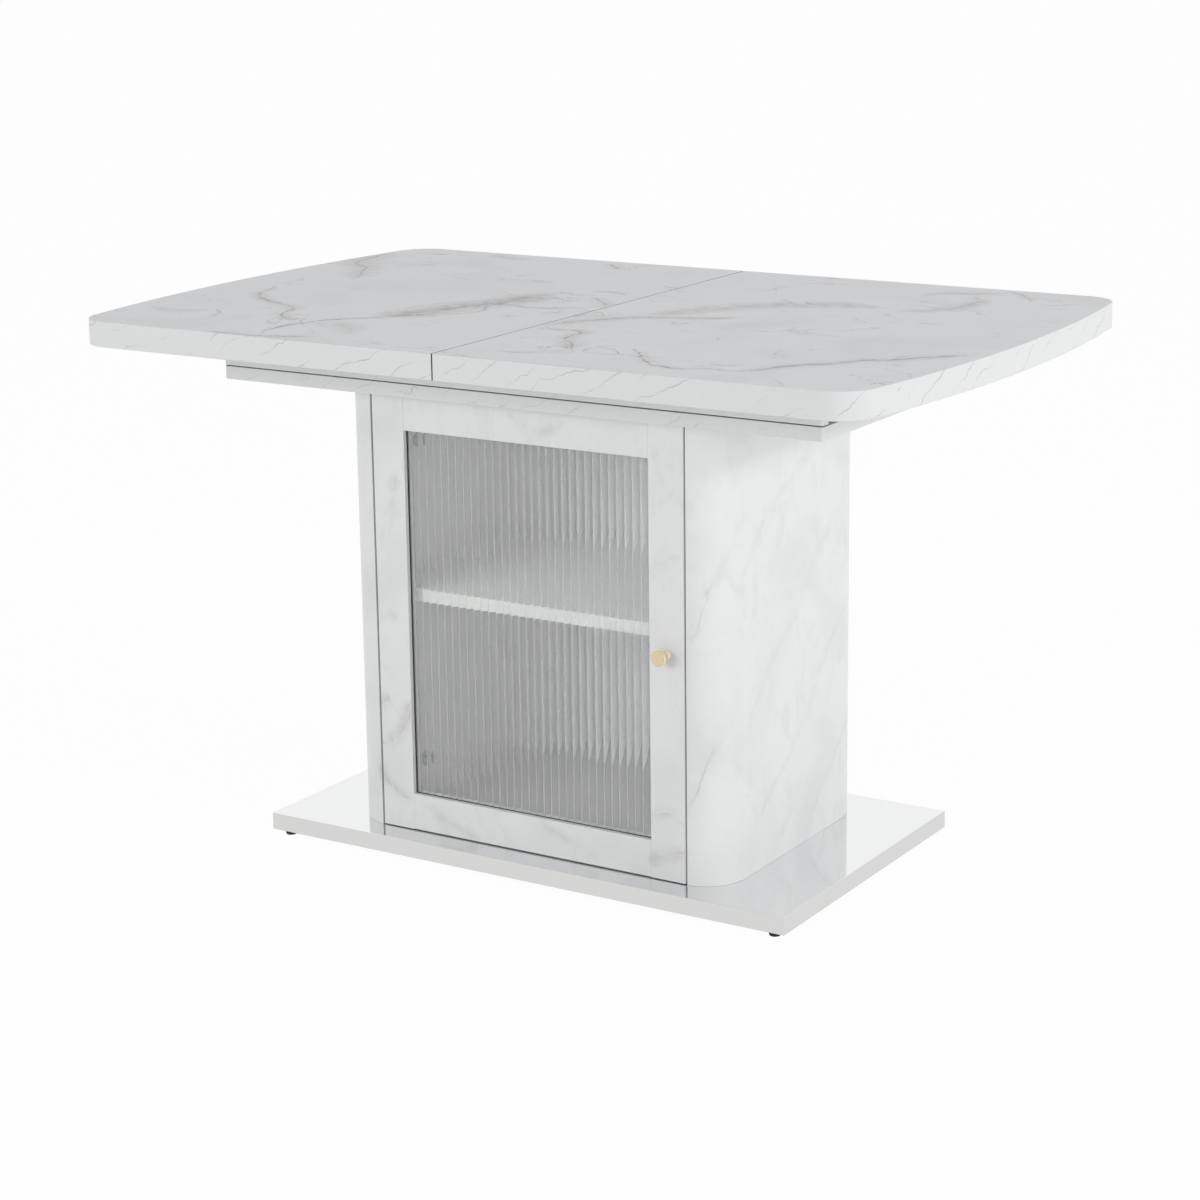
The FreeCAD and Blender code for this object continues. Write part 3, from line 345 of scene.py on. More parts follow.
@dataclass(frozen=True)
class Wobble:
    """Noise that pushes coordinates about by its reach in metres, so that lines grow ragged."""

    waves: float
    reach: float
    detail: float = 3.0
    rough: float = 0.5

    def bend(self, sheet: ShaderSheet, place: Socket) -> Socket:
        """Return the pushed coordinates.

        Args:
            sheet: the material's sheet.
            place: the coordinates to bend.

        Returns:
            The bent coordinates.
        """
        push = sheet.noise(place, self.waves, self.detail, 0.0, self.rough).outputs["Color"]
        centred = sheet.moved(push, (-0.5, -0.5, -0.5))
        sized = sheet.worked("ShaderNodeVectorMath", "SCALE", centred)
        sized.inputs["Scale"].default_value = 2.0 * self.reach
        return sheet.moved(place, sized.outputs["Vector"])


@dataclass(frozen=True)
class Pebble:
    """A fine bump all over a face; its depth is in metres."""

    waves: float
    depth: float
    strength: float
    detail: float = 2.0

    def press(self, sheet: ShaderSheet, place: Socket) -> None:
        """Press the bump into the material."""
        sheet.bump(Grain(self.waves, self.detail).levels(sheet, place), self.depth, self.strength)


# Veins of the marble


@dataclass(frozen=True)
class VeinPath:
    """One vein on a flat face; its points, in millimetres, go on in one direction.

    line and smoke are strengths, and width and spread are half widths in millimetres. The ends fade from
    end_start to end_stop, which are distances from the vein's middle as shares of its run.
    """

    points: tuple[PlanPoint, ...]
    line: float = 0.0
    width: float = 3.5
    smoke: float = 0.0
    spread: float = 45.0
    end_start: float = 0.30
    end_stop: float = 0.51

    def gap(self, sheet: ShaderSheet, place: Socket) -> tuple[Socket, Socket]:
        """Measure how far each point of the face is from the vein.

        Args:
            sheet: the material's sheet.
            place: coordinates on the face, with z at zero.

        Returns:
            The distance in metres, and a share that falls from 1 to 0 at the vein's two ends.
        """
        start = Vector(self.points[0]) * MM
        run = Vector(self.points[-1]) * MM - start
        along_axis = run / run.length_squared
        across_axis = Vector((-run.y, run.x)) / run.length_squared
        offset = sheet.vector("SUBTRACT", place, (start.x, start.y, 0.0)).outputs["Vector"]
        along = sheet.vector("DOT_PRODUCT", offset, (*along_axis, 0.0)).outputs["Value"]
        across = sheet.vector("DOT_PRODUCT", offset, (*across_axis, 0.0)).outputs["Value"]
        steps = [Vector(point) * MM - start for point in self.points]
        bends = [(step.dot(along_axis), step.dot(across_axis) + 0.5) for step in steps]
        middle = sheet.math("SUBTRACT", sheet.curve(along, bends), 0.5)
        away = sheet.apart(across, middle)
        from_centre = sheet.apart(along, 0.5)
        return sheet.times(away, run.length), sheet.fade(from_centre, self.end_start, self.end_stop)


LEFT_TOP_VEINS = (
    VeinPath(((-370, -394), (-325, -393), (-280, -391), (-240, -380), (-200, -358)), 0.60, 3.8, 0.30, 24.0),
    VeinPath(
        ((-272, -398), (-300, -340), (-292, -285), (-275, -250), (-225, -200), (-193, -160), (-168, -112)),
        0.95, 3.8, 0.30, 20.0,
    ),
    VeinPath(
        ((-242, -220), (-200, -135), (-180, -75), (-155, -15), (-135, 55), (-126, 108)),
        0.45, 4.4, 0.85, 56.0,
    ),
    VeinPath(((-252, -160), (-238, -95), (-212, -42), (-172, -2), (-138, 60), (-124, 108)), 0.40, 3.2),
    VeinPath(((-198, -172), (-152, -132), (-136, -92), (-152, -46), (-142, 6)), 0.50, 3.8),
    VeinPath(((-178, -36), (-135, -30), (-80, -32), (-45, -15), (-12, 6)), 0.80, 3.2, 0.30, 20.0),
    VeinPath(((-19, 0), (-14, 33), (-35, 55), (-70, 84)), 0.65, 3.2, 0.35, 22.0),
    VeinPath(((-100, 124), (-65, 133), (-28, 116)), 0.45, 3.2, 0.30, 18.0),
    VeinPath(((-290, -283), (-240, -275), (-200, -295), (-180, -340)), 0.10, 3.2, 0.32, 34.0),
    VeinPath(
        ((-540, -18), (-520, -60), (-500, -110), (-460, -145), (-425, -162), (-380, -185), (-360, -235),
         (-338, -262), (-288, -283)),
        0.65, 3.2, 0.34, 24.0,
    ),
    VeinPath(((-500, -124), (-455, -148), (-412, -168)), 0.0, 3.2, 0.60, 20.0),
    VeinPath(
        ((-588, 362), (-580, 255), (-573, 217), (-525, 175), (-490, 115), (-464, 52)),
        0.45, 4.4, 0.40, 46.0,
    ),
    VeinPath(((-216, 378), (-185, 343), (-165, 334)), 0.45, 4.4, 0.30, 24.0),
    VeinPath(((-440, 386), (-395, 365), (-338, 358)), 0.15, 3.8, 0.34, 22.0),
    VeinPath(((-575, -256), (-525, -280), (-465, -250)), 0.10, 3.8, 0.36, 26.0),
)

RIGHT_TOP_VEINS = (
    VeinPath(
        ((9, -172), (16, -125), (45, -85), (85, -42), (120, -25), (175, -5), (204, 36)),
        0.62, 3.8, 0.42, 28.0,
    ),
    VeinPath(((70, -56), (130, 55), (175, 115), (245, 160), (305, 180), (385, 158)), 0.12, 3.8, 0.60, 44.0),
    VeinPath(((352, 148), (410, 200), (430, 245), (415, 310), (385, 345)), 0.34, 3.8, 0.50, 30.0),
    VeinPath(((340, 288), (353, 333), (387, 343), (430, 372)), 0.50, 3.8, 0.28, 22.0),
    VeinPath(((425, 390), (460, 360), (488, 308)), 0.40, 3.8, 0.24, 22.0),
    VeinPath(
        ((10, -146), (31, -173), (65, -170), (81, -183), (86, -220), (115, -255), (146, -306)),
        0.68, 3.2, 0.42, 30.0,
    ),
    VeinPath(((148, -290), (120, -323), (60, -350)), 0.45, 3.2, 0.20, 18.0),
    VeinPath(((145, -286), (180, -270), (210, -322)), 0.60, 3.2),
    VeinPath(
        ((200, -242), (230, -285), (260, -320), (287, -342), (325, -351), (362, -335), (392, -336)),
        0.78, 3.2, 0.28, 20.0,
    ),
    VeinPath(
        ((376, -338), (410, -317), (427, -280), (475, -235), (495, -200), (525, -180), (547, -153),
         (575, -128), (626, -115)),
        0.90, 3.8, 0.45, 24.0,
    ),
)

LEAF_VEINS = (
    VeinPath(((-195, -205), (-60, -90), (20, -30), (150, 120), (198, 210)), 0.70, 3.2, 0.45, 30.0),
    VeinPath(((-200, 60), (-90, 110), (10, 195)), 0.50, 3.2, 0.30, 22.0),
    VeinPath(((40, -212), (110, -120), (200, -70)), 0.50, 3.2, 0.30, 22.0),
)

FRONT_VEINS = (
    VeinPath(((-248, 205), (-227, 216), (-213, 197), (-188, 226)), 0.22, 3.0, 0.55, 17.0),
    VeinPath(((-250, 146), (-220, 162), (-206, 179), (-188, 212)), 0.32, 3.0, 0.62, 17.0),
    VeinPath(((-250, 128), (-234, 95), (-213, 81), (-186, 75)), 0.30, 3.0, 0.62, 16.0),
    VeinPath(((-250, 320), (-226, 338), (-204, 330)), 0.10, 3.0, 0.35, 16.0),
    VeinPath(((-232, 470), (-214, 500), (-200, 545)), 0.10, 3.0, 0.30, 15.0),
    VeinPath(((186, 106), (214, 127), (246, 110)), 0.22, 3.0, 0.52, 17.0),
    VeinPath(((184, 50), (210, 67), (248, 78)), 0.26, 3.0, 0.58, 17.0),
    VeinPath(((200, 440), (222, 470), (240, 476)), 0.08, 3.0, 0.28, 14.0),
    VeinPath(((-26, 644), (-8, 629), (27, 619), (70, 638)), 0.10, 3.0, 0.40, 16.0),
    VeinPath(((-180, 76), (-120, 50), (-76, 36)), 0.10, 3.0, 0.36, 14.0),
    VeinPath(((10, 84), (60, 60), (122, 38)), 0.10, 3.0, 0.36, 14.0),
    VeinPath(((246, 128), (262, 165), (278, 207), (308, 280)), 0.28, 2.5, 0.30, 14.0),
    VeinPath(((246, 350), (262, 385), (280, 440), (306, 474)), 0.18, 2.5, 0.26, 14.0),
)

SIDE_VEINS = (
    VeinPath(((-150, 222), (-80, 300), (-20, 345), (60, 430), (160, 512)), 0.10, 2.5, 0.12, 15.0),
    VeinPath(((-140, 70), (-50, 150), (10, 190), (90, 290), (190, 388)), 0.16, 2.5, 0.14, 15.0),
    VeinPath(((-160, 420), (-70, 520), (20, 570), (120, 660)), 0.08, 2.5, 0.12, 15.0),
    VeinPath(((25, 42), (90, 110), (200, 222)), 0.14, 2.5, 0.14, 14.0),
    VeinPath(((-60, 60), (-20, 84), (30, 150)), 0.10, 2.5, 0.14, 14.0),
)


def drawn_veins(sheet: ShaderSheet, place: Socket, paths: tuple[VeinPath, ...]) -> tuple[Socket, Socket]:
    """Draw veins on a face.

    Args:
        sheet: the material's sheet.
        place: coordinates on the face, with z at zero.
        paths: the veins.

    Returns:
        The strength of the thin lines, and of the smoky bands round them.
    """
    least_end = 0.2
    line: Value = 0.0
    smoke: Value = 0.0
    for path in paths:
        away, ends = path.gap(sheet, place)
        drawn = sheet.times(sheet.fade(away, 0.0, path.width * MM, path.line, 0.0), ends)
        line = sheet.math("MAXIMUM", line, drawn)
        if path.smoke:
            swollen = sheet.math("DIVIDE", away, sheet.math("MAXIMUM", ends, least_end))
            band = sheet.times(sheet.fade(swollen, 0.0, path.spread * MM, path.smoke, 0.0), ends)
            smoke = sheet.math("MAXIMUM", smoke, band)
    return line, smoke


@dataclass(frozen=True)
class SlantVeins:
    """Thin veins that lean up to the right on the upright edges; width is a share of the spacing."""

    spacing: float = 62 * MM
    lean: float = 1.9
    width: float = 0.034
    depth: float = 0.40
    sway: Wobble = Wobble(7.0, 30 * MM)
    shake: Wobble = Wobble(42.0, 7 * MM, 6.0)
    breaks: Grain = Grain(24.0, 5.0, low=0.40, high=0.60)

    def mask(self, sheet: ShaderSheet, place: Socket) -> Socket:
        """Return the veins' strength, from 0 to the depth.

        Args:
            sheet: the material's sheet.
            place: the Object coordinates.

        Returns:
            The strength's socket.
        """
        x, y, z = sheet.axes(self.shake.bend(sheet, self.sway.bend(sheet, place)))
        along = sheet.math("SUBTRACT", sheet.math("ADD", x, y), sheet.times(z, self.lean))
        cells = sheet.tree.nodes.new("ShaderNodeTexVoronoi")
        cells.voronoi_dimensions = "1D"
        cells.feature = "DISTANCE_TO_EDGE"
        cells.inputs["Scale"].default_value = 1.0 / self.spacing
        sheet.join(along, cells.inputs["W"])
        line = sheet.fade(cells.outputs["Distance"], 0.0, self.width, self.depth, 0.0)
        return sheet.times(line, self.breaks.shown(sheet, place))


# Finishes


class Finish:
    """A finish of the table, which makes its own material."""

    name: str

    def make(self) -> Material:
        """Build the finish's material."""
        raise NotImplementedError


@dataclass(frozen=True)
class MarbleTop(Finish):
    """High-pressure laminate of the top: drawn veins on the flat, slanting veins round the edge, and painted
    shade in the split between the two halves.
    """

    name: str
    veins: tuple[VeinPath, ...]
    gap_shade_half: float = 1.0 * MM
    ground: Colour = (0.800, 0.808, 0.824)
    cloud: Colour = (0.712, 0.721, 0.738)
    vein: Colour = (0.14, 0.134, 0.129)
    smoke: Colour = (0.37, 0.357, 0.345)
    edge_ground: Colour = (0.755, 0.764, 0.767)
    # colour of the painted shade in the split between the halves
    gap_shade: Colour = (0.16, 0.16, 0.16)
    roughness: float = 0.40
    gloss: float = 0.30
    sway: Wobble = Wobble(11.0, 9 * MM)
    shake: Wobble = Wobble(52.0, 8 * MM, 8.0, 0.66)
    line_breaks: Grain = Grain(30.0, 6.0, rough=0.65, low=0.38, high=0.56, weak=0.32)
    smoke_patches: Grain = Grain(40.0, 9.0, 0.6, 0.68, low=0.34, high=0.64, weak=0.30)
    clouds: Grain = Grain(6.0, 9.0, 0.5, low=0.42, high=0.72, strong=0.85)
    speckle: Grain = Grain(330.0, 3.0, rough=0.6, low=0.38, high=0.66, strong=0.6)
    hair_levels: Grain = Grain((3.4, 7.5, 0.0), 6.0, 0.9, 0.6)
    hair_breaks: Grain = Grain(9.0, 5.0, low=0.47, high=0.62)
    hair_depth: float = 0.42
    hair_width: float = 0.010
    edge_turn: PlanPoint = (0.55, 0.85)
    gap_shade_fade: PlanPoint = (0.9, 1.1)
    pebble: Pebble = Pebble(900.0, 0.05 * MM, 0.25)

    def hair_veins(self, sheet: ShaderSheet, plan: Socket) -> Socket:
        """Draw the faint, broken hair veins between the main ones.

        Args:
            sheet: the material's sheet.
            plan: coordinates on the flat, with z at zero.

        Returns:
            Their strength, from 0 to the depth.
        """
        from_level = sheet.apart(self.hair_levels.levels(sheet, plan), 0.5)
        line = sheet.fade(from_level, 0.0, self.hair_width, self.hair_depth, 0.0)
        return sheet.times(line, self.hair_breaks.shown(sheet, plan))

    def make(self) -> Material:
        """Build the top's material."""
        sheet = ShaderSheet(self.name)
        place = sheet.place()
        plan = sheet.stretched(place, (1.0, 1.0, 0.0))
        bent = self.shake.bend(sheet, self.sway.bend(sheet, plan))
        strength = self.line_breaks.shown(sheet, plan)
        patches = self.smoke_patches.shown(sheet, plan)
        line, smoke = drawn_veins(sheet, bent, self.veins)
        line = sheet.math("MAXIMUM", sheet.times(line, strength), self.hair_veins(sheet, plan))
        smoke = sheet.times(smoke, patches)

        cloudy = sheet.math("MAXIMUM", self.clouds.shown(sheet, plan), self.speckle.shown(sheet, plan))
        colour = sheet.tint(cloudy, self.ground, self.cloud)
        colour = sheet.tint(smoke, colour, self.smoke)
        colour = sheet.tint(line, colour, self.vein)

        edge_colour = sheet.tint(SlantVeins().mask(sheet, place), self.edge_ground, self.vein)
        flat = sheet.fade(sheet.facing(Z_AXIS), *self.edge_turn, 0.0, 1.0)
        colour = sheet.tint(flat, edge_colour, colour)
        # painted shade: the faces of the split between the halves are darkened, where shade falls in the gap
        if self.gap_shade_half:
            from_joint = sheet.math("ABSOLUTE", sheet.axes(place)[X_AXIS])
            start, stop = (share * self.gap_shade_half for share in self.gap_shade_fade)
            colour = sheet.tint(sheet.fade(from_joint, start, stop), colour, self.gap_shade)
        sheet.surface(Base_Color=colour, Roughness=self.roughness, Specular_IOR_Level=self.gloss)
        self.pebble.press(sheet, place)
        return sheet.material


@dataclass(frozen=True)
class MarbleBoard(Finish):
    """The same laminate on the box and the cabinet, with fewer and fainter veins; a band of painted shade can
    darken a groove.
    """

    name: str
    front_veins: tuple[VeinPath, ...] = ()
    side_veins: tuple[VeinPath, ...] = ()
    slant_depth: float = 0.0
    groove: PlanPoint = (0.0, 0.0)
    ground: Colour = (0.81, 0.82, 0.82)
    cloud: Colour = (0.715, 0.725, 0.73)
    # colour of the painted shade in the groove
    painted_groove_shade: Colour = (0.12, 0.12, 0.12)
    vein: Colour = (0.36, 0.345, 0.33)
    smoke: Colour = (0.55, 0.54, 0.53)
    roughness: float = 0.34
    sway: Wobble = Wobble(13.0, 8 * MM)
    shake: Wobble = Wobble(60.0, 5 * MM, 6.0)
    clouds: Grain = Grain(6.5, 5.0, 0.5, low=0.46, high=0.76, strong=0.7)
    mottle: Grain = Grain((26.0, 26.0, 15.0), 9.0, 0.9, 0.68, low=0.47, high=0.70, strong=0.6)
    line_breaks: Grain = Grain(40.0, 4.0, low=0.38, high=0.62, weak=0.1)
    smoke_patches: Grain = Grain(34.0, 6.0, 0.8, low=0.36, high=0.66, weak=0.2)
    side_turn: PlanPoint = (0.45, 0.90)
    groove_fade: PlanPoint = (0.45, 0.55)
    pebble: Pebble = Pebble(900.0, 0.05 * MM, 0.25)

    def face_veins(self, sheet: ShaderSheet, place: Socket) -> tuple[Socket, Socket]:
        """Draw the veins of the front and back on faces that look along y, and the side's on the rest.

        Args:
            sheet: the material's sheet.
            place: the Object coordinates.

        Returns:
            The strength of the thin lines, and of the smoky bands round them.
        """
        x, y, z = sheet.axes(self.shake.bend(sheet, self.sway.bend(sheet, place)))
        front = drawn_veins(sheet, sheet.point(x, z), self.front_veins)
        side = drawn_veins(sheet, sheet.point(y, z), self.side_veins)
        turned = sheet.fade(sheet.facing(X_AXIS), *self.side_turn, 0.0, 1.0)
        return tuple(sheet.mix("FLOAT", turned, one, two) for one, two in zip(front, side))

    def make(self) -> Material:
        """Build the board's material."""
        sheet = ShaderSheet(self.name)
        place = sheet.place()
        cloudy = sheet.math("MAXIMUM", self.clouds.shown(sheet, place), self.mottle.shown(sheet, place))
        colour = sheet.tint(cloudy, self.ground, self.cloud)
        if self.front_veins:
            strength = self.line_breaks.shown(sheet, place)
            line, smoke = self.face_veins(sheet, place)
            patches = self.smoke_patches.shown(sheet, place)
            colour = sheet.tint(sheet.times(smoke, patches), colour, self.smoke)
            colour = sheet.tint(sheet.times(line, strength), colour, self.vein)
        if self.slant_depth:
            slants = SlantVeins(depth=self.slant_depth).mask(sheet, place)
            colour = sheet.tint(slants, colour, self.vein)
        # painted shade: the band at the groove's height is darkened, where shade falls in the recess
        if any(self.groove):
            low, high = self.groove
            from_middle = sheet.apart(sheet.axes(place)[Z_AXIS], (low + high) / 2)
            start, stop = (share * (high - low) for share in self.groove_fade)
            colour = sheet.tint(sheet.fade(from_middle, start, stop), colour, self.painted_groove_shade)
        sheet.surface(Base_Color=colour, Roughness=self.roughness)
        self.pebble.press(sheet, place)
        return sheet.material


@dataclass(frozen=True)
class WhiteBoard(Finish):
    """Melamine-faced board inside the cabinet: fine pebbles and a faint mottle; the band colour, on faces
    that look along y, is painted shade for the shelf's front edge.
    """

    name: str
    ground: Colour = (0.85, 0.85, 0.845)
    mottle: Colour = (0.82, 0.82, 0.815)
    # painted shade on faces that look along y; the same as the ground except on the shelf
    band: Colour = (0.85, 0.85, 0.845)
    roughness: float = 0.48
    patches: Grain = Grain(38.0)
    edge_shade_turn: PlanPoint = (0.60, 0.90)
    pebble: Pebble = Pebble(1100.0, 0.08 * MM, 0.4)

    def make(self) -> Material:
        """Build the inner board's material."""
        sheet = ShaderSheet(self.name)
        place = sheet.place()
        face = sheet.tint(self.patches.shown(sheet, place), self.ground, self.mottle)
        # painted shade: faces that look along y take the band colour
        edge_shade_share = sheet.fade(sheet.facing(Y_AXIS), *self.edge_shade_turn, 0.0, 1.0)
        sheet.surface(Base_Color=sheet.tint(edge_shade_share, face, self.band), Roughness=self.roughness)
        self.pebble.press(sheet, place)
        return sheet.material


@dataclass(frozen=True)
class Metal(Finish):
    """A metal with fine marks along one axis and a soft change of gloss."""

    name: str
    ground: Colour
    mark: Colour
    roughness: float
    smear: float = 0.06
    marks: Grain = Grain((30.0, 900.0, 900.0), 3.0)
    mark_depth: float = 0.01 * MM
    mark_strength: float = 0.2

    def make(self) -> Material:
        """Build the metal's material."""
        sheet = ShaderSheet(self.name)
        place = sheet.place()
        marks = self.marks.levels(sheet, place)
        share = sheet.fade(marks, self.marks.low, self.marks.high, 0.0, 1.0)
        gloss = smeared_gloss(sheet, place, self.roughness, self.smear)
        sheet.surface(Base_Color=sheet.tint(share, self.ground, self.mark), Metallic=1.0, Roughness=gloss)
        sheet.bump(marks, self.mark_depth, self.mark_strength)
        return sheet.material


@dataclass(frozen=True)
class PolishedMetalPaintedLight(Finish):
    """Polished metal whose flat face, square to one axis, is painted another tone than its sides; both tones
    are painted light, for the lighter or darker reflections each catches.
    """

    name: str
    axis: int
    # face and side: painted light, standing in for how bright each one's reflection is
    face: Colour
    side: Colour
    roughness: float
    smear: float
    painted_light_turn: PlanPoint = (0.60, 0.90)
    pebble: Pebble = Pebble(2.0, 0.05 * MM, 0.02, 3.0)

    def make(self) -> Material:
        """Build the metal's material."""
        sheet = ShaderSheet(self.name)
        place = sheet.place()
        # painted light: the face and the sides take different tones by which way they look
        flat = sheet.fade(sheet.facing(self.axis), *self.painted_light_turn, 0.0, 1.0)
        gloss = smeared_gloss(sheet, place, self.roughness, self.smear)
        sheet.surface(Base_Color=sheet.tint(flat, self.side, self.face), Metallic=1.0, Roughness=gloss)
        self.pebble.press(sheet, place)
        return sheet.material


def smeared_gloss(sheet: ShaderSheet, place: Socket, roughness: float, smear: float) -> Socket:
    """Return a metal's roughness, which broad smears raise by up to the given amount."""
    waves = 14.0
    return Grain(waves, 3.0, weak=roughness, strong=roughness + smear).shown(sheet, place)


@dataclass(frozen=True)
class ReededGlass(Finish):
    """Clear pressed glass; lamps shine through it, so the shelves behind are lit. Paler lines at the rib
    grooves are painted highlights.
    """

    name: str
    tint_colour: Colour = (0.93, 0.94, 0.935)
    roughness: float = 0.03
    ior: float = 1.46
    rib_pitch: float = RIB_PITCH
    groove_highlight_share: float = 0.07
    clear_at_groove_highlight: float = 0.69
    clear_on_rib: float = 0.87
    ripple: Grain = Grain((60.0, 60.0, 9.0), 2.0)
    ripple_depth: float = 0.03 * MM
    ripple_strength: float = 0.1

    def make(self) -> Material:
        """Build the glass material."""
        sheet = ShaderSheet(self.name)
        place = sheet.place()
        ripple = self.ripple.levels(sheet, place)
        # painted highlight: less light passes at the rib grooves, so the pale diffuse part shows there as
        # bright lines
        ribs = sheet.math("FRACT", sheet.math("DIVIDE", sheet.axes(place)[X_AXIS], self.rib_pitch))
        from_groove = sheet.apart(ribs, 0.5)
        clear = sheet.fade(from_groove, 0.0, self.groove_highlight_share, self.clear_at_groove_highlight, self.clear_on_rib)
        sheet.surface(Base_Color=self.tint_colour, Roughness=self.roughness, IOR=self.ior)
        sheet.surface(Transmission_Weight=clear)
        sheet.bump(ripple, self.ripple_depth, self.ripple_strength)
        shadow = sheet.add("ShaderNodeLightPath").outputs["Is Shadow Ray"]
        passing = sheet.add("ShaderNodeBsdfTransparent", Color=with_alpha(self.tint_colour))
        glass, light = (shader.outputs["BSDF"] for shader in (sheet.shader, passing))
        sheet.mix_shaders(shadow, glass, light, sheet.output.inputs["Surface"])
        return sheet.material


@dataclass(frozen=True)
class MouldedPlastic(Finish):
    """Moulded plastic or rubber with a fine grain and a faint bloom."""

    name: str
    ground: Colour
    bloom: Colour
    roughness: float
    bloom_roughness: float = 0.08
    patches: Grain = Grain(60.0, low=0.40, high=0.72)
    pebble: Pebble = Pebble(1400.0, 0.06 * MM, 0.5)

    def make(self) -> Material:
        """Build the plastic's material."""
        sheet = ShaderSheet(self.name)
        place = sheet.place()
        share = self.patches.shown(sheet, place)
        gloss = sheet.fade(share, 0.0, 1.0, self.roughness, self.roughness + self.bloom_roughness)
        sheet.surface(Base_Color=sheet.tint(share, self.ground, self.bloom), Roughness=gloss)
        self.pebble.press(sheet, place)
        return sheet.material


@dataclass(frozen=True)
class Felt(Finish):
    """Pressed felt with a tangle of short fibres."""

    name: str
    ground: Colour = (0.30, 0.30, 0.31)
    fibre: Colour = (0.42, 0.42, 0.43)
    roughness: float = 0.92
    sheen: float = 0.4
    tangle: Grain = Grain(700.0, 6.0, 2.0)
    tangle_depth: float = 0.25 * MM
    tangle_strength: float = 0.8

    def make(self) -> Material:
        """Build the felt's material."""
        sheet = ShaderSheet(self.name)
        tangle = self.tangle.levels(sheet, sheet.place())
        sheet.surface(Base_Color=sheet.tint(tangle, self.ground, self.fibre))
        sheet.surface(Roughness=self.roughness, Sheen_Weight=self.sheen)
        sheet.bump(tangle, self.tangle_depth, self.tangle_strength)
        return sheet.material


class FinishKind(Enum):
    """The finishes, each with the record's slot as its value."""

    MARBLE = "marble_laminate"
    WHITE = "white_board"
    ZINC = "zinc_hardware"
    STEEL = "polished_steel"
    GLASS = "reeded_glass"
    BRASS = "knob_brass"
    FOOT = "foot_plastic"


class Paints:
    """The materials of the table, made once and shared."""

    rail_groove = (671.5 * MM, 673 * MM)
    slant_depth = 0.36

    def __init__(self) -> None:
        """Make every material."""
        self.left_top = MarbleTop("marble_left_top", LEFT_TOP_VEINS).make()
        self.right_top = MarbleTop("marble_right_top", RIGHT_TOP_VEINS).make()
        self.leaf = MarbleTop("marble_leaf", LEAF_VEINS, gap_shade_half=0.0).make()
        self.box = MarbleBoard("marble_box", slant_depth=self.slant_depth, ground=(0.75, 0.76, 0.755)).make()
        # the rails: painted shade in the groove, and a ground a shade darker than the box's, painted shade
        # under the top
        self.shaded_rails = MarbleBoard(
            "marble_rails_painted_shade", slant_depth=self.slant_depth, groove=self.rail_groove,
            ground=(0.745, 0.752, 0.748),
        ).make()
        self.cabinet = MarbleBoard("marble_cabinet", FRONT_VEINS, SIDE_VEINS).make()
        self.white = WhiteBoard("white_board").make()
        # the shelf: painted light, a lighter ground for the light on its top, with painted shade on its front
        # edge
        self.shelf = WhiteBoard(
            "shelf_board", (0.93, 0.93, 0.925), (0.90, 0.90, 0.895), (0.68, 0.68, 0.675),
        ).make()
        # painted shade: the cabinet floor is a darker copy of the white board, for the shade under the shelf
        floor_shade = (0.44, 0.44, 0.44)
        self.floor_shade = WhiteBoard("floor_board_painted_shade", floor_shade, (0.41, 0.41, 0.41), floor_shade).make()
        self.zinc = Metal("zinc_plate", (0.46, 0.46, 0.47), (0.40, 0.40, 0.42), 0.28).make()
        # steel: sides painted darker than the face, painted shade in their reflections
        self.steel = PolishedMetalPaintedLight(
            "polished_steel", Z_AXIS, (0.85, 0.855, 0.86), (0.67, 0.675, 0.665), 0.014, 0.012,
        ).make()
        self.hinge = Metal("dark_nickel", (0.17, 0.17, 0.175), (0.13, 0.13, 0.135), 0.26).make()
        self.aluminium = Metal("slide_aluminium", (0.70, 0.71, 0.72), (0.62, 0.63, 0.64), 0.32).make()
        # brass: rim painted lighter, a painted highlight; face painted darker, painted shade
        self.brass = PolishedMetalPaintedLight(
            "knob_brass", Y_AXIS, (0.71, 0.59, 0.385), (0.93, 0.84, 0.62), 0.12, 0.08,
        ).make()
        self.glass = ReededGlass("reeded_glass").make()
        self.gasket = MouldedPlastic("black_gasket", (0.012, 0.012, 0.013), (0.02, 0.02, 0.021), 0.5).make()
        self.foot = MouldedPlastic("foot_plastic", (0.008, 0.008, 0.009), (0.014, 0.014, 0.015), 0.62).make()
        self.catch = MouldedPlastic("catch_plastic", (0.70, 0.70, 0.69), (0.66, 0.66, 0.65), 0.42).make()
        self.felt = Felt("pad_felt").make()


# Meshes


def repaint(mesh: Mesh, material: Material) -> None:
    """Give a mesh one material in place of those it has."""
    mesh.materials.clear()
    mesh.materials.append(material)


def link_piece(name: str, mesh: Mesh, material: Material) -> bpy.types.Object:
    """Put a mesh in the scene as a piece at the origin, with one material.

    Args:
        name: the piece's name.
        mesh: its mesh, with its place in its vertices.
        material: its finish.

    Returns:
        The new object.
    """
    piece = bpy.data.objects.new(name, mesh)
    repaint(mesh, material)
    bpy.context.scene.collection.objects.link(piece)
    return piece


def stand_in(name: str, mesh: Mesh, material: Material, node: str) -> None:
    """Put a finished mesh in the place of a CAD node, on the node's body.

    Args:
        name: the piece's name.
        mesh: its mesh, with its place in its vertices.
        material: its finish.
        node: the CAD node's name.
    """
    piece = link_piece(name, mesh, material)
    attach(piece, frame["nodes"][node]["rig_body"])
    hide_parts(node)
    LOG.info("built %s", name)


def dress(material: Material, *nodes: str) -> None:
    """Give CAD nodes a finish in place of their packed colour.

    Args:
        material: the finish.
        nodes: the CAD nodes' names.
    """
    for node in nodes:
        repaint(frame["nodes"][node].data, material)
        LOG.info("dressed CAD node %s with %s", node, material.name)


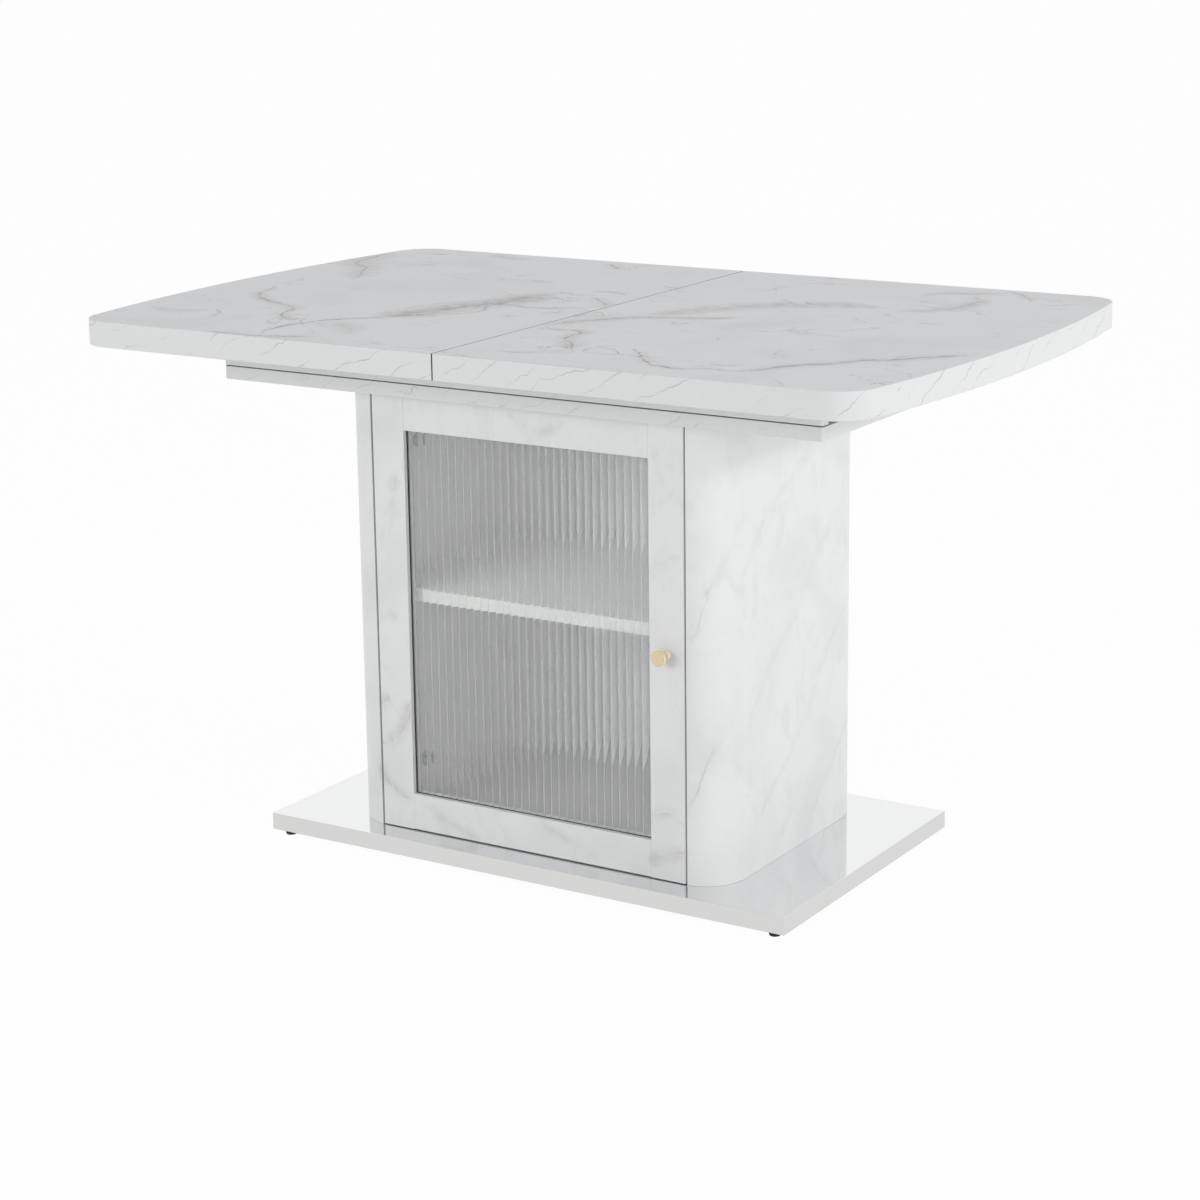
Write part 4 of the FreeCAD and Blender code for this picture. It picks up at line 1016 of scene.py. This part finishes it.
def plain_mesh(piece: bpy.types.Object) -> Mesh:
    """Turn what a piece's modifiers make of it into a mesh of its own.

    Args:
        piece: the object with the modifiers.

    Returns:
        The mesh.
    """
    bpy.context.view_layer.update()
    depsgraph = bpy.context.evaluated_depsgraph_get()
    return bpy.data.meshes.new_from_object(piece.evaluated_get(depsgraph))


def smooth_by_angle(mesh: Mesh, degrees: float) -> None:
    """Shade a mesh smooth and keep its sharp edges.

    Args:
        mesh: the mesh.
        degrees: the angle from which an edge counts as sharp.
    """
    for face in mesh.polygons:
        face.use_smooth = True
    mesh.set_sharp_from_angle(angle=math.radians(degrees))


@dataclass(frozen=True)
class Arris:
    """The rounding of a board's edges; lengths are in metres and angles in degrees."""

    width: float = 0.5 * MM
    steps: int = 2
    corner: float = 40.0
    merge: float = 0.01 * MM
    flat: float = 0.05

    def soften(self, node: str, name: str, material: Material, kind: FinishKind) -> None:
        """Copy a CAD node, round its sharp edges and put the copy in its place.

        Args:
            node: the CAD node's name.
            name: the new piece's name.
            material: its finish.
            kind: the record's slot for it; not used.
        """
        source = frame["nodes"][node].data
        mesh = bpy.data.meshes.new(name)
        corners = [tuple(vertex.co) for vertex in source.vertices]
        mesh.from_pydata(corners, [], [tuple(face.vertices) for face in source.polygons])
        work = bmesh.new()
        work.from_mesh(mesh)
        bmesh.ops.remove_doubles(work, verts=work.verts, dist=self.merge)
        flat = math.radians(self.flat)
        bmesh.ops.dissolve_limit(work, angle_limit=flat, verts=work.verts, edges=work.edges)
        work.to_mesh(mesh)
        work.free()
        smooth_by_angle(mesh, self.corner)
        holder = bpy.data.objects.new("arris_holder", mesh)
        bpy.context.scene.collection.objects.link(holder)
        bevel = holder.modifiers.new("arris", "BEVEL")
        bevel.width = self.width
        bevel.segments = self.steps
        bevel.limit_method = "ANGLE"
        bevel.angle_limit = math.radians(self.corner)
        bevel.use_clamp_overlap = False
        bevel.harden_normals = True
        softened = plain_mesh(holder)
        bpy.data.objects.remove(holder)
        softened.name = name
        stand_in(name, softened, material, node)


def turned_mesh(name: str, profile: list[PlanPoint], steps: int) -> Mesh:
    """Turn a profile about the z axis.

    Args:
        name: the mesh's name.
        profile: radius and height of each point, from the axis and back to it.
        steps: number of steps in a full turn.

    Returns:
        A closed mesh.
    """
    merge = 0.001 * MM
    work = bmesh.new()
    corners = [work.verts.new((radius, 0.0, height)) for radius, height in profile]
    lines = [work.edges.new(pair) for pair in zip(corners, corners[1:])]
    bmesh.ops.spin(
        work, geom=corners + lines, cent=(0, 0, 0), axis=(0, 0, 1), dvec=(0, 0, 0),
        angle=2 * math.pi, steps=steps, use_merge=True, use_duplicate=False,
    )
    bmesh.ops.remove_doubles(work, verts=work.verts, dist=merge)
    bmesh.ops.recalc_face_normals(work, faces=work.faces)
    mesh = bpy.data.meshes.new(name)
    work.to_mesh(mesh)
    work.free()
    return mesh


class ShapeRecipe(NodeSheet):
    """A Geometry Nodes tree with named inputs, built node by node."""

    def __init__(self, name: str) -> None:
        """Start an empty tree.

        Args:
            name: the tree's name.
        """
        super().__init__(bpy.data.node_groups.new(name, "GeometryNodeTree"))
        self.identifiers: dict[str, str] = {}
        for way in ("INPUT", "OUTPUT"):
            self.tree.interface.new_socket("Geometry", in_out=way, socket_type="NodeSocketGeometry")
        self.entry = self.add("NodeGroupInput")
        self.exit = self.add("NodeGroupOutput")

    def size(self, name: str, kind: str = "NodeSocketFloat") -> Socket:
        """Add a named input to the tree.

        Args:
            name: the input's name.
            kind: Blender's name of its type.

        Returns:
            Its socket inside the tree.
        """
        made = self.tree.interface.new_socket(name, in_out="INPUT", socket_type=kind)
        self.identifiers[name] = made.identifier
        return self.entry.outputs[name]

    def position(self) -> tuple[Socket, Socket, Socket]:
        """Return the x, y and z of each point."""
        return self.axes(self.add("GeometryNodeInputPosition").outputs["Position"])

    def lifted(self, geometry: Socket, height: Value) -> Socket:
        """Return a shape moved up by a height."""
        raised = self.add("GeometryNodeTransform", Geometry=geometry, Translation=self.point(z=height))
        return raised.outputs["Geometry"]

    def bar(self, radius: Value, length: Socket, corners: int, rings: int = 1) -> Socket:
        """Return a round bar about the z axis, with its middle at the origin.

        Args:
            radius: the bar's radius.
            length: its length.
            corners: number of corners round it.
            rings: number of steps along it.

        Returns:
            The bar's mesh.
        """
        rod = self.add(
            "GeometryNodeMeshCylinder", Radius=radius, Depth=length, Vertices=corners, Side_Segments=rings,
        )
        return rod.outputs["Mesh"]

    def drawn_in(self, geometry: Socket, x: Socket, y: Socket, z: Socket, share: Socket) -> Socket:
        """Return a shape whose points go towards the z axis, to a share of their distance from it."""
        place = self.point(self.times(x, share), self.times(y, share), z)
        return self.add("GeometryNodeSetPosition", Geometry=geometry, Position=place).outputs["Geometry"]

    def joined(self, *parts: Socket) -> Socket:
        """Join several shapes into one.

        Args:
            parts: the shapes.

        Returns:
            The one shape.
        """
        whole = self.add("GeometryNodeJoinGeometry")
        for part in parts:
            self.join(part, whole.inputs["Geometry"])
        return whole.outputs["Geometry"]

    def repeated(self, shape: Socket, **turn: Socket) -> Socket:
        """Return the shape once at each seed point, turned if a Rotation is given."""
        points = self.entry.outputs["Geometry"]
        return self.add(
            "GeometryNodeInstanceOnPoints", Points=points, Instance=shape, **turn,
        ).outputs["Instances"]

    def close(self, geometry: Socket) -> None:
        """End the tree in Realize Instances and Set Material, with the material as an input.

        Args:
            geometry: what the tree has made.
        """
        finish = self.size("Finish", "NodeSocketMaterial")
        real = self.add("GeometryNodeRealizeInstances", Geometry=geometry)
        painted = self.add("GeometryNodeSetMaterial", Geometry=real.outputs["Geometry"], Material=finish)
        self.join(painted.outputs["Geometry"], self.exit.inputs["Geometry"])

    def grow(self, seeds: list[Point], sizes: dict[str, object], sharp_degrees: float) -> Mesh:
        """Run the tree and keep its result as a plain mesh.

        Args:
            seeds: the points that the tree starts from.
            sizes: a value for each named input.
            sharp_degrees: the angle from which an edge stays sharp.

        Returns:
            The mesh.
        """
        start = bpy.data.meshes.new("recipe_seeds")
        start.from_pydata(seeds, [], [])
        holder = bpy.data.objects.new("recipe_holder", start)
        bpy.context.scene.collection.objects.link(holder)
        modifier = holder.modifiers.new("recipe", "NODES")
        modifier.node_group = self.tree
        for name, value in sizes.items():
            modifier[self.identifiers[name]] = value
        mesh = plain_mesh(holder)
        holder.modifiers.remove(modifier)
        bpy.data.objects.remove(holder)
        smooth_by_angle(mesh, sharp_degrees)
        return mesh


# Screws


class ScrewRecipe(ShapeRecipe):
    """Domed screw heads with a cross recess and a plain shank, one at each seed point."""

    head_corners = 32
    head_rings = 5
    shank_corners = 16
    dome_power = 4.0
    dome_draw = 0.3
    cross_length = 1.05
    cross_width = 0.24
    shank_overlap = 0.2

    def __init__(self) -> None:
        """Build the tree."""
        super().__init__("screw_recipe")
        radius = self.size("Head Radius")
        height = self.size("Head Height")
        shank_radius = self.size("Shank Radius")
        shank_length = self.size("Shank Length")
        facing = self.size("Facing", "NodeSocketVector")
        screw = self.joined(self.head(radius, height), self.shank(shank_radius, shank_length, height))
        turn = self.add("FunctionNodeAlignRotationToVector", Vector=facing)
        turn.axis = "Z"
        self.close(self.repeated(screw, Rotation=turn.outputs["Rotation"]))

    def head(self, radius: Socket, height: Socket) -> Socket:
        """Make the domed head, which stands on z zero, and cut the cross into it.

        Args:
            radius: the head's radius.
            height: the head's height.

        Returns:
            The head's mesh.
        """
        blank = self.bar(radius, height, self.head_corners, self.head_rings)
        stood = self.lifted(blank, self.times(height, 0.5))
        x, y, z = self.position()
        rise = self.math("POWER", self.math("DIVIDE", z, height), self.dome_power)
        domed = self.drawn_in(stood, x, y, z, self.math("SUBTRACT", 1.0, self.times(rise, self.dome_draw)))
        cut = self.add("GeometryNodeMeshBoolean")
        cut.operation = "DIFFERENCE"
        self.join(domed, cut.inputs["Mesh 1"])
        long_side = self.times(radius, self.cross_length)
        short_side = self.times(radius, self.cross_width)
        for size in (self.point(long_side, short_side, height), self.point(short_side, long_side, height)):
            block = self.add("GeometryNodeMeshCube", Size=size).outputs["Mesh"]
            self.join(self.lifted(block, height), cut.inputs["Mesh 2"])
        return cut.outputs["Mesh"]

    def shank(self, radius: Socket, length: Socket, head_height: Socket) -> Socket:
        """Make the shank, which runs down from inside the head.

        Args:
            radius: the shank's radius.
            length: its length below the head.
            head_height: the head's height.

        Returns:
            The shank's mesh.
        """
        overlap = self.times(head_height, self.shank_overlap)
        whole = self.math("ADD", length, overlap)
        drop = self.math("SUBTRACT", overlap, self.times(whole, 0.5))
        return self.lifted(self.bar(radius, whole, self.shank_corners), drop)


@dataclass(frozen=True)
class ScrewSet:
    """The screws of one CAD node, which all face one way; lengths are in millimetres."""

    node: str
    facing: Point
    seats: tuple[Point, ...]
    head_radius: float
    head_height: float
    shank_radius: float
    shank_length: float
    sharp_degrees: float = 35.0

    def build(self, recipe: ScrewRecipe, material: Material) -> None:
        """Make the set as one piece that stands for its CAD node.

        Args:
            recipe: the screw tree.
            material: the screws' finish.
        """
        seeds = [tuple(value * MM for value in seat) for seat in self.seats]
        mesh = recipe.grow(seeds, {
            "Head Radius": self.head_radius * MM,
            "Head Height": self.head_height * MM,
            "Shank Radius": self.shank_radius * MM,
            "Shank Length": self.shank_length * MM,
            "Facing": self.facing,
            "Finish": material,
        }, self.sharp_degrees)
        stand_in(f"{self.node}_cross_heads", mesh, material, self.node)


def crossed(xs: tuple[float, ...], ys: tuple[float, ...], zs: tuple[float, ...]) -> tuple[Point, ...]:
    """Return every point of a grid of x, y and z values."""
    return tuple((x, y, z) for x in xs for y in ys for z in zs)


# Places of the screws, in millimetres
RUNNER_SCREW_PLACES = (65.0, 220.0, 375.0)
HINGE_LEVELS = (113.2, 571.0)
CUP_SCREW_LEVELS = tuple(level + step for level in HINGE_LEVELS for step in (-21.5, 21.5))
PLATE_SCREW_LEVELS = tuple(level + step for level in HINGE_LEVELS for step in (-12.5, 12.5))

SCREW_SETS = (
    ScrewSet(
        "back_panel_screws", (0, 1, 0), crossed((-160, 0, 160), (200,), (39.5, 646)),
        4.0, 1.2, 1.9, 29.8,
    ),
    ScrewSet(
        "hinge_plate_screws", (1, 0, 0), crossed((-244,), (-145,), PLATE_SCREW_LEVELS),
        3.5, 1.5, 1.9, 15.0,
    ),
    ScrewSet(
        "catch_screws", (0, 0, -1), crossed((155.5, 191.5), (-155.2,), (624.5,)),
        3.5, 1.5, 1.6, 23.0,
    ),
    ScrewSet(
        "apron_screws", (0, 0, -1),
        crossed((-379.25, -129.5, 129.5, 379.25), (-232.5, 232.5), (657.5,))
        + crossed((-455, 455), (-112.5, 112.5), (657.5,)),
        4.0, 3.0, 2.0, 32.0,
    ),
    ScrewSet(
        "carrier_bolts", (0, 0, 1), crossed((-222, 222), (-110, 110), (671.5,)),
        5.0, 2.5, 2.9, 30.0,
    ),
    ScrewSet(
        "left_runner_screws", (0, 0, -1),
        crossed(tuple(-x for x in RUNNER_SCREW_PLACES), (-197.5, 197.5), (711.0,)), 3.5, 2.0, 1.9, 18.0,
    ),
    ScrewSet(
        "right_runner_screws", (0, 0, -1), crossed(RUNNER_SCREW_PLACES, (-197.5, 197.5), (711.0,)),
        3.5, 2.0, 1.9, 18.0,
    ),
    ScrewSet(
        "hinge_cup_screws", (0, 1, 0), crossed((-221,), (-178.5,), CUP_SCREW_LEVELS),
        3.5, 1.5, 1.8, 13.5,
    ),
    ScrewSet("knob_screw", (0, 1, 0), ((217.5, -180, 342.1),), 4.5, 2.5, 1.9, 30.0),
)


# Sub-assemblies


@dataclass
class TableTop:
    """The two halves of the top and the folded leaf under them."""

    paints: Paints
    edge: Arris = Arris(0.6 * MM)

    def build(self) -> None:
        """Copy the halves and the leaf with soft edges."""
        finishes = {
            "left_top": self.paints.left_top,
            "right_top": self.paints.right_top,
            "leaf_lower_panel": self.paints.leaf,
            "leaf_upper_panel": self.paints.leaf,
        }
        for node, finish in finishes.items():
            self.edge.soften(node, f"{node}_slab", finish, FinishKind.MARBLE)
        self.dress()

    def dress(self) -> None:
        """Finish the leaf's fittings and the pins between the halves."""
        dress(self.paints.zinc, "leaf_hinges", "top_pins")
        dress(self.paints.felt, "leaf_pads")


@dataclass
class ApronBox:
    """The shallow box under the top, with the slides inside it."""

    paints: Paints
    edge: Arris = Arris()

    def build(self) -> None:
        """Copy the box's boards with soft edges."""
        self.edge.soften("carrier_board", "carrier_board_faced", self.paints.box, FinishKind.MARBLE)
        for side in ("front", "back", "left", "right"):
            node = f"{side}_apron_rail"
            self.edge.soften(node, f"{node}_faced", self.paints.shaded_rails, FinishKind.MARBLE)
        self.dress()

    def dress(self) -> None:
        """Finish the slide channels and runners."""
        channels = ("front_slide_channel", "back_slide_channel")
        dress(self.paints.aluminium, *channels, "left_runners", "right_runners")


@dataclass
class Cabinet:
    """The bent outer panels, the boards inside and what is fixed to them."""

    paints: Paints
    edge: Arris = Arris()

    def build(self) -> None:
        """Copy the cabinet's boards with soft edges."""
        for node in ("left_side_panel", "right_side_panel", "back_panel"):
            self.edge.soften(node, f"{node}_faced", self.paints.cabinet, FinishKind.MARBLE)
        boards = {
            "shelf": self.paints.shelf,
            # painted shade on the cabinet floor
            "cabinet_floor": self.paints.floor_shade,
            "cabinet_deck": self.paints.white,
            "left_gable": self.paints.white,
            "right_gable": self.paints.white,
        }
        for node, finish in boards.items():
            self.edge.soften(node, f"{node}_board", finish, FinishKind.WHITE)
        self.dress()

    def dress(self) -> None:
        """Finish the hidden blocks and the hardware."""
        dress(self.paints.white, "left_spacer_blocks", "right_spacer_blocks", "base_core")
        dress(self.paints.hinge, "hinge_plates", "hinge_arms")
        dress(self.paints.zinc, "carcass_screws", "shelf_pins", "catch_magnet", "foot_inserts")
        dress(self.paints.catch, "catch_housing")


class PaneRecipe(ShapeRecipe):
    """A pane whose front is a row of upright round ribs."""

    def __init__(self) -> None:
        """Build the tree."""
        super().__init__("reeded_pane_recipe")
        width = self.size("Width")
        height = self.size("Height")
        thickness = self.size("Thickness")
        pitch = self.size("Rib Pitch")
        rise = self.size("Rib Height")
        steps = self.size("Steps Across", "NodeSocketInt")
        centre = self.size("Centre", "NodeSocketVector")
        size = self.point(width, thickness, height)
        sheet = self.add("GeometryNodeMeshCube", Size=size, Vertices_X=steps).outputs["Mesh"]
        x, y, _ = self.position()
        shifted = self.math("ADD", self.math("DIVIDE", x, pitch), 0.5)
        across = self.math("SUBTRACT", self.math("FRACT", shifted), 0.5)
        lowered = self.times(self.times(across, across), 4.0)
        bulge = self.times(self.math("SUBTRACT", 1.0, lowered), rise)
        front = self.add("FunctionNodeCompare")
        front.data_type = "FLOAT"
        front.operation = "LESS_THAN"
        self.feed(front.inputs[0], y)
        self.feed(front.inputs[1], 0.0)
        ribbed = self.add(
            "GeometryNodeSetPosition", Geometry=sheet, Selection=front.outputs["Result"],
            Offset=self.point(y=self.times(bulge, -1.0)),
        )
        stood = self.add("GeometryNodeTransform", Geometry=ribbed.outputs["Geometry"], Translation=centre)
        self.close(stood.outputs["Geometry"])


# Each point's radius and its distance out from the door, in millimetres
KNOB_OUTLINE = (
    (0.0, 0.0), (6.5, 0.0), (6.5, 1.3), (6.1, 1.9), (5.2, 2.3), (4.5, 2.9), (4.2, 3.8), (4.1, 7.0),
    (4.2, 10.4), (4.7, 12.0), (6.0, 13.6), (8.2, 14.9), (9.9, 15.6), (10.45, 16.1), (10.6, 16.8),
    (10.6, 20.6), (10.45, 21.4), (10.0, 22.1), (9.3, 22.45), (8.8, 22.5), (8.4, 22.35), (8.1, 22.0),
    (7.4, 21.8), (4.0, 21.65), (0.0, 21.6),
)


@dataclass
class GlazedDoor:
    """The door's frame, its reeded pane and its knob; lengths are in metres and angles in degrees."""

    paints: Paints
    edge: Arris = Arris()
    rib_pitch: float = RIB_PITCH
    rib_height: float = 1.2 * MM
    steps_in_rib: int = 16
    pane_half_width: float = 198.0 * MM
    pane_sharp: float = 30.0
    knob_centre: Point = (217.5 * MM, -200 * MM, 342.1 * MM)
    knob_steps: int = 96
    knob_sharp: float = 40.0

    def build(self) -> None:
        """Build the frame, the pane and the knob."""
        for node in ("door_stile_left", "door_stile_right", "door_rail_top", "door_rail_bottom"):
            self.edge.soften(node, f"{node}_faced", self.paints.cabinet, FinishKind.MARBLE)
        self.build_pane()
        self.build_knob()
        self.dress()

    def build_pane(self) -> None:
        """Build the reeded pane with Geometry Nodes."""
        low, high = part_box("door_glass")
        front_face = low.y + self.rib_height
        ribs = round(2 * self.pane_half_width / self.rib_pitch)
        mesh = PaneRecipe().grow([(0.0, 0.0, 0.0)], {
            "Width": ribs * self.rib_pitch,
            "Height": high.z - low.z,
            "Thickness": high.y - front_face,
            "Rib Pitch": self.rib_pitch,
            "Rib Height": self.rib_height,
            "Steps Across": ribs * self.steps_in_rib + 1,
            "Centre": (0.0, (high.y + front_face) / 2, (low.z + high.z) / 2),
            "Finish": self.paints.glass,
        }, self.pane_sharp)
        stand_in("reeded_pane", mesh, self.paints.glass, "door_glass")

    def build_knob(self) -> None:
        """Turn the knob, with a rounded rim and a shallow dish in its face."""
        mesh = turned_mesh("turned_knob", [(r * MM, out * MM) for r, out in KNOB_OUTLINE], self.knob_steps)
        outwards = Matrix.Rotation(math.radians(90), 4, "X")
        mesh.transform(Matrix.Translation(self.knob_centre) @ outwards)
        smooth_by_angle(mesh, self.knob_sharp)
        stand_in("turned_knob", mesh, self.paints.brass, "door_knob")

    def dress(self) -> None:
        """Finish the gasket, the beads and the door's metal."""
        dress(self.paints.gasket, "glass_gasket")
        dress(self.paints.white, "glazing_beads")
        dress(self.paints.hinge, "hinge_cups", "hinge_pins")
        dress(self.paints.zinc, "strike_plate")


class FootRecipe(ShapeRecipe):
    """A low moulded foot with grip ribs round its rim and a plain stem."""

    pad_corners = 144
    pad_rings = 12
    stem_corners = 32
    swell_power = 0.7
    stem_start = 0.8

    def __init__(self) -> None:
        """Build the tree."""
        super().__init__("levelling_foot_recipe")
        radius = self.size("Pad Radius")
        sole = self.size("Sole Radius")
        height = self.size("Pad Height")
        ribs = self.size("Grip Ribs")
        rib_depth = self.size("Rib Depth")
        stem_radius = self.size("Stem Radius")
        stem_top = self.size("Stem Top")
        stood = self.lifted(self.bar(1.0, height, self.pad_corners, self.pad_rings), self.times(height, 0.5))
        x, y, z = self.position()
        wave = self.math("SINE", self.times(self.math("DIVIDE", z, height), math.pi))
        swell = self.math("POWER", self.math("MAXIMUM", wave, 0.0), self.swell_power)
        body = self.math("ADD", sole, self.times(self.math("SUBTRACT", radius, sole), swell))
        ripple = self.math("COSINE", self.times(self.math("ARCTAN2", y, x), ribs))
        grip = self.times(self.math("SUBTRACT", 1.0, ripple), 0.5)
        cut = self.times(self.times(grip, rib_depth), swell)
        pad = self.drawn_in(stood, x, y, z, self.math("SUBTRACT", body, cut))
        stem_foot = self.times(height, self.stem_start)
        rod = self.bar(stem_radius, self.math("SUBTRACT", stem_top, stem_foot), self.stem_corners)
        stem = self.lifted(rod, self.times(self.math("ADD", stem_top, stem_foot), 0.5))
        self.close(self.repeated(self.joined(pad, stem)))


@dataclass
class Base:
    """The steel-clad base plate and its four levelling feet; lengths are in metres."""

    paints: Paints
    edge: Arris = Arris(0.8 * MM, 3)
    pad_radius: float = 8 * MM
    sole_radius: float = 7 * MM
    pad_height: float = 7 * MM
    grip_ribs: float = 24.0
    rib_depth: float = 0.4 * MM
    stem_radius: float = 4 * MM
    foot_sharp: float = 45.0

    def build(self) -> None:
        """Build the cladding and the feet."""
        self.edge.soften("base_cladding", "polished_cladding", self.paints.steel, FinishKind.STEEL)
        recipe = FootRecipe()
        for node in ("foot_front_left", "foot_front_right", "foot_back_left", "foot_back_right"):
            self.build_foot(recipe, node)

    def build_foot(self, recipe: FootRecipe, node: str) -> None:
        """Build one foot in place of its CAD node.

        Args:
            recipe: the foot tree.
            node: the CAD node.
        """
        low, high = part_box(node)
        mesh = recipe.grow([((low.x + high.x) / 2, (low.y + high.y) / 2, low.z)], {
            "Pad Radius": self.pad_radius,
            "Sole Radius": self.sole_radius,
            "Pad Height": self.pad_height,
            "Grip Ribs": self.grip_ribs,
            "Rib Depth": self.rib_depth,
            "Stem Radius": self.stem_radius,
            "Stem Top": high.z - low.z,
            "Finish": self.paints.foot,
        }, self.foot_sharp)
        stand_in(f"{node}_ribbed", mesh, self.paints.foot, node)


# Studio


@dataclass(frozen=True)
class SoftLamp:
    """A large rectangular lamp that points at the table and stays out of reflections."""

    name: str
    place: Point
    aim: Point
    width: float
    height: float
    power: float

    def build(self) -> None:
        """Put the lamp in the scene."""
        data = bpy.data.lights.new(self.name, "AREA")
        data.shape = "RECTANGLE"
        data.size = self.width
        data.size_y = self.height
        data.energy = self.power
        lamp = bpy.data.objects.new(self.name, data)
        lamp.location = self.place
        lamp.visible_glossy = False
        lamp.rotation_mode = "QUATERNION"
        lamp.rotation_quaternion = (Vector(self.aim) - Vector(self.place)).to_track_quat("-Z", "Y")
        bpy.context.scene.collection.objects.link(lamp)


@dataclass
class Studio:
    """The floor, the soft light and the camera; lengths are in metres and angles in radians."""

    white: Colour = (1.0, 1.0, 1.0)
    floor_half: float = 60.0
    floor_colour: Colour = (0.90, 0.90, 0.90)
    floor_glow_share: float = 0.97
    world_level: float = 0.54
    camera_place: Point = (2.01204, -3.23859, 1.34720)
    camera_yaw: float = 0.56605
    camera_pitch: float = 0.23661
    camera_roll: float = -0.015
    camera_lens: float = 85.114
    camera_sensor: float = 36.0
    camera_shift: PlanPoint = (0.02, -0.05)
    lamps: tuple[SoftLamp, ...] = (
        SoftLamp("right_softbox", (4.4, 0.0, 0.8), (0.0, 0.0, 0.4), 3.0, 1.8, 42.0),
        SoftLamp("right_key", (4.6, 0.0, 2.3), (0.3, 0.0, 0.5), 0.5, 0.5, 38.0),
        SoftLamp("front_softbox", (-1.0, -4.4, 1.7), (0.0, 0.0, 0.4), 2.6, 1.4, 56.0),
    )

    def build(self) -> None:
        """Set the view, the world, the floor, the lamps and the camera."""
        bpy.context.scene.view_settings.view_transform = "Standard"
        self.build_world()
        self.build_floor()
        for lamp in self.lamps:
            lamp.build()
        self.build_camera()

    def seen_by(self, sheet: NodeSheet) -> Socket:
        """Find the rays that show a picture: from the camera, off gloss and through glass.

        Args:
            sheet: the node tree that asks.

        Returns:
            A socket with 1 for such rays and 0 for the rest.
        """
        path = sheet.add("ShaderNodeLightPath").outputs
        direct = sheet.math("MAXIMUM", path["Is Camera Ray"], path["Is Glossy Ray"])
        return sheet.math("MAXIMUM", direct, path["Is Transmission Ray"])

    def build_world(self) -> None:
        """Make a world that looks white and lights at the chosen level."""
        world = bpy.data.worlds.new("studio_world")
        world.use_nodes = True
        sheet = NodeSheet(world.node_tree)
        sheet.tree.nodes.clear()
        output = sheet.add("ShaderNodeOutputWorld")
        white = with_alpha(self.white)
        lit = sheet.add("ShaderNodeBackground", Color=white, Strength=self.world_level).outputs["Background"]
        shown = sheet.add("ShaderNodeBackground", Color=white).outputs["Background"]
        sheet.mix_shaders(self.seen_by(sheet), lit, shown, output.inputs["Surface"])
        bpy.context.scene.world = world

    def build_floor(self) -> None:
        """Make a pale floor that looks white and keeps a soft shadow."""
        half = self.floor_half
        mesh = bpy.data.meshes.new("studio_floor")
        corners = [(-half, -half, 0.0), (half, -half, 0.0), (half, half, 0.0), (-half, half, 0.0)]
        mesh.from_pydata(corners, [], [(0, 1, 2, 3)])
        material = bpy.data.materials.new("studio_floor")
        material.use_nodes = True
        sheet = NodeSheet(material.node_tree)
        sheet.tree.nodes.clear()
        output = sheet.add("ShaderNodeOutputMaterial")
        matt = sheet.add("ShaderNodeBsdfDiffuse", Color=with_alpha(self.floor_colour)).outputs["BSDF"]
        glow = sheet.add("ShaderNodeEmission", Color=with_alpha(self.white)).outputs["Emission"]
        share = sheet.times(self.seen_by(sheet), self.floor_glow_share)
        sheet.mix_shaders(share, matt, glow, output.inputs["Surface"])
        link_piece("studio_floor", mesh, material)

    def build_camera(self) -> None:
        """Place the camera fitted to the photograph; it tilts where the photograph's lens was shifted."""
        data = bpy.data.cameras.new("photo_camera")
        data.lens = self.camera_lens
        data.sensor_width = self.camera_sensor
        data.shift_x, data.shift_y = self.camera_shift
        level = Matrix.Rotation(math.radians(90), 3, "X")
        yaw = Matrix.Rotation(self.camera_yaw, 3, "Z")
        pitch = Matrix.Rotation(-self.camera_pitch, 3, "X")
        roll = Matrix.Rotation(self.camera_roll, 3, "Z")
        camera = bpy.data.objects.new("photo_camera", data)
        turned = yaw @ level @ pitch @ roll
        camera.matrix_world = Matrix.Translation(self.camera_place) @ turned.to_4x4()
        bpy.context.scene.collection.objects.link(camera)
        bpy.context.scene.camera = camera


def main() -> None:
    logging.basicConfig(level=logging.INFO, format="%(name)s: %(message)s")
    paints = Paints()
    for assembly in (TableTop(paints), ApronBox(paints), Cabinet(paints), GlazedDoor(paints), Base(paints)):
        assembly.build()
        LOG.info("finished %s", type(assembly).__name__)
    recipe = ScrewRecipe()
    for screws in SCREW_SETS:
        screws.build(recipe, paints.zinc)
    Studio().build()


if __name__ == "__main__":
    main()
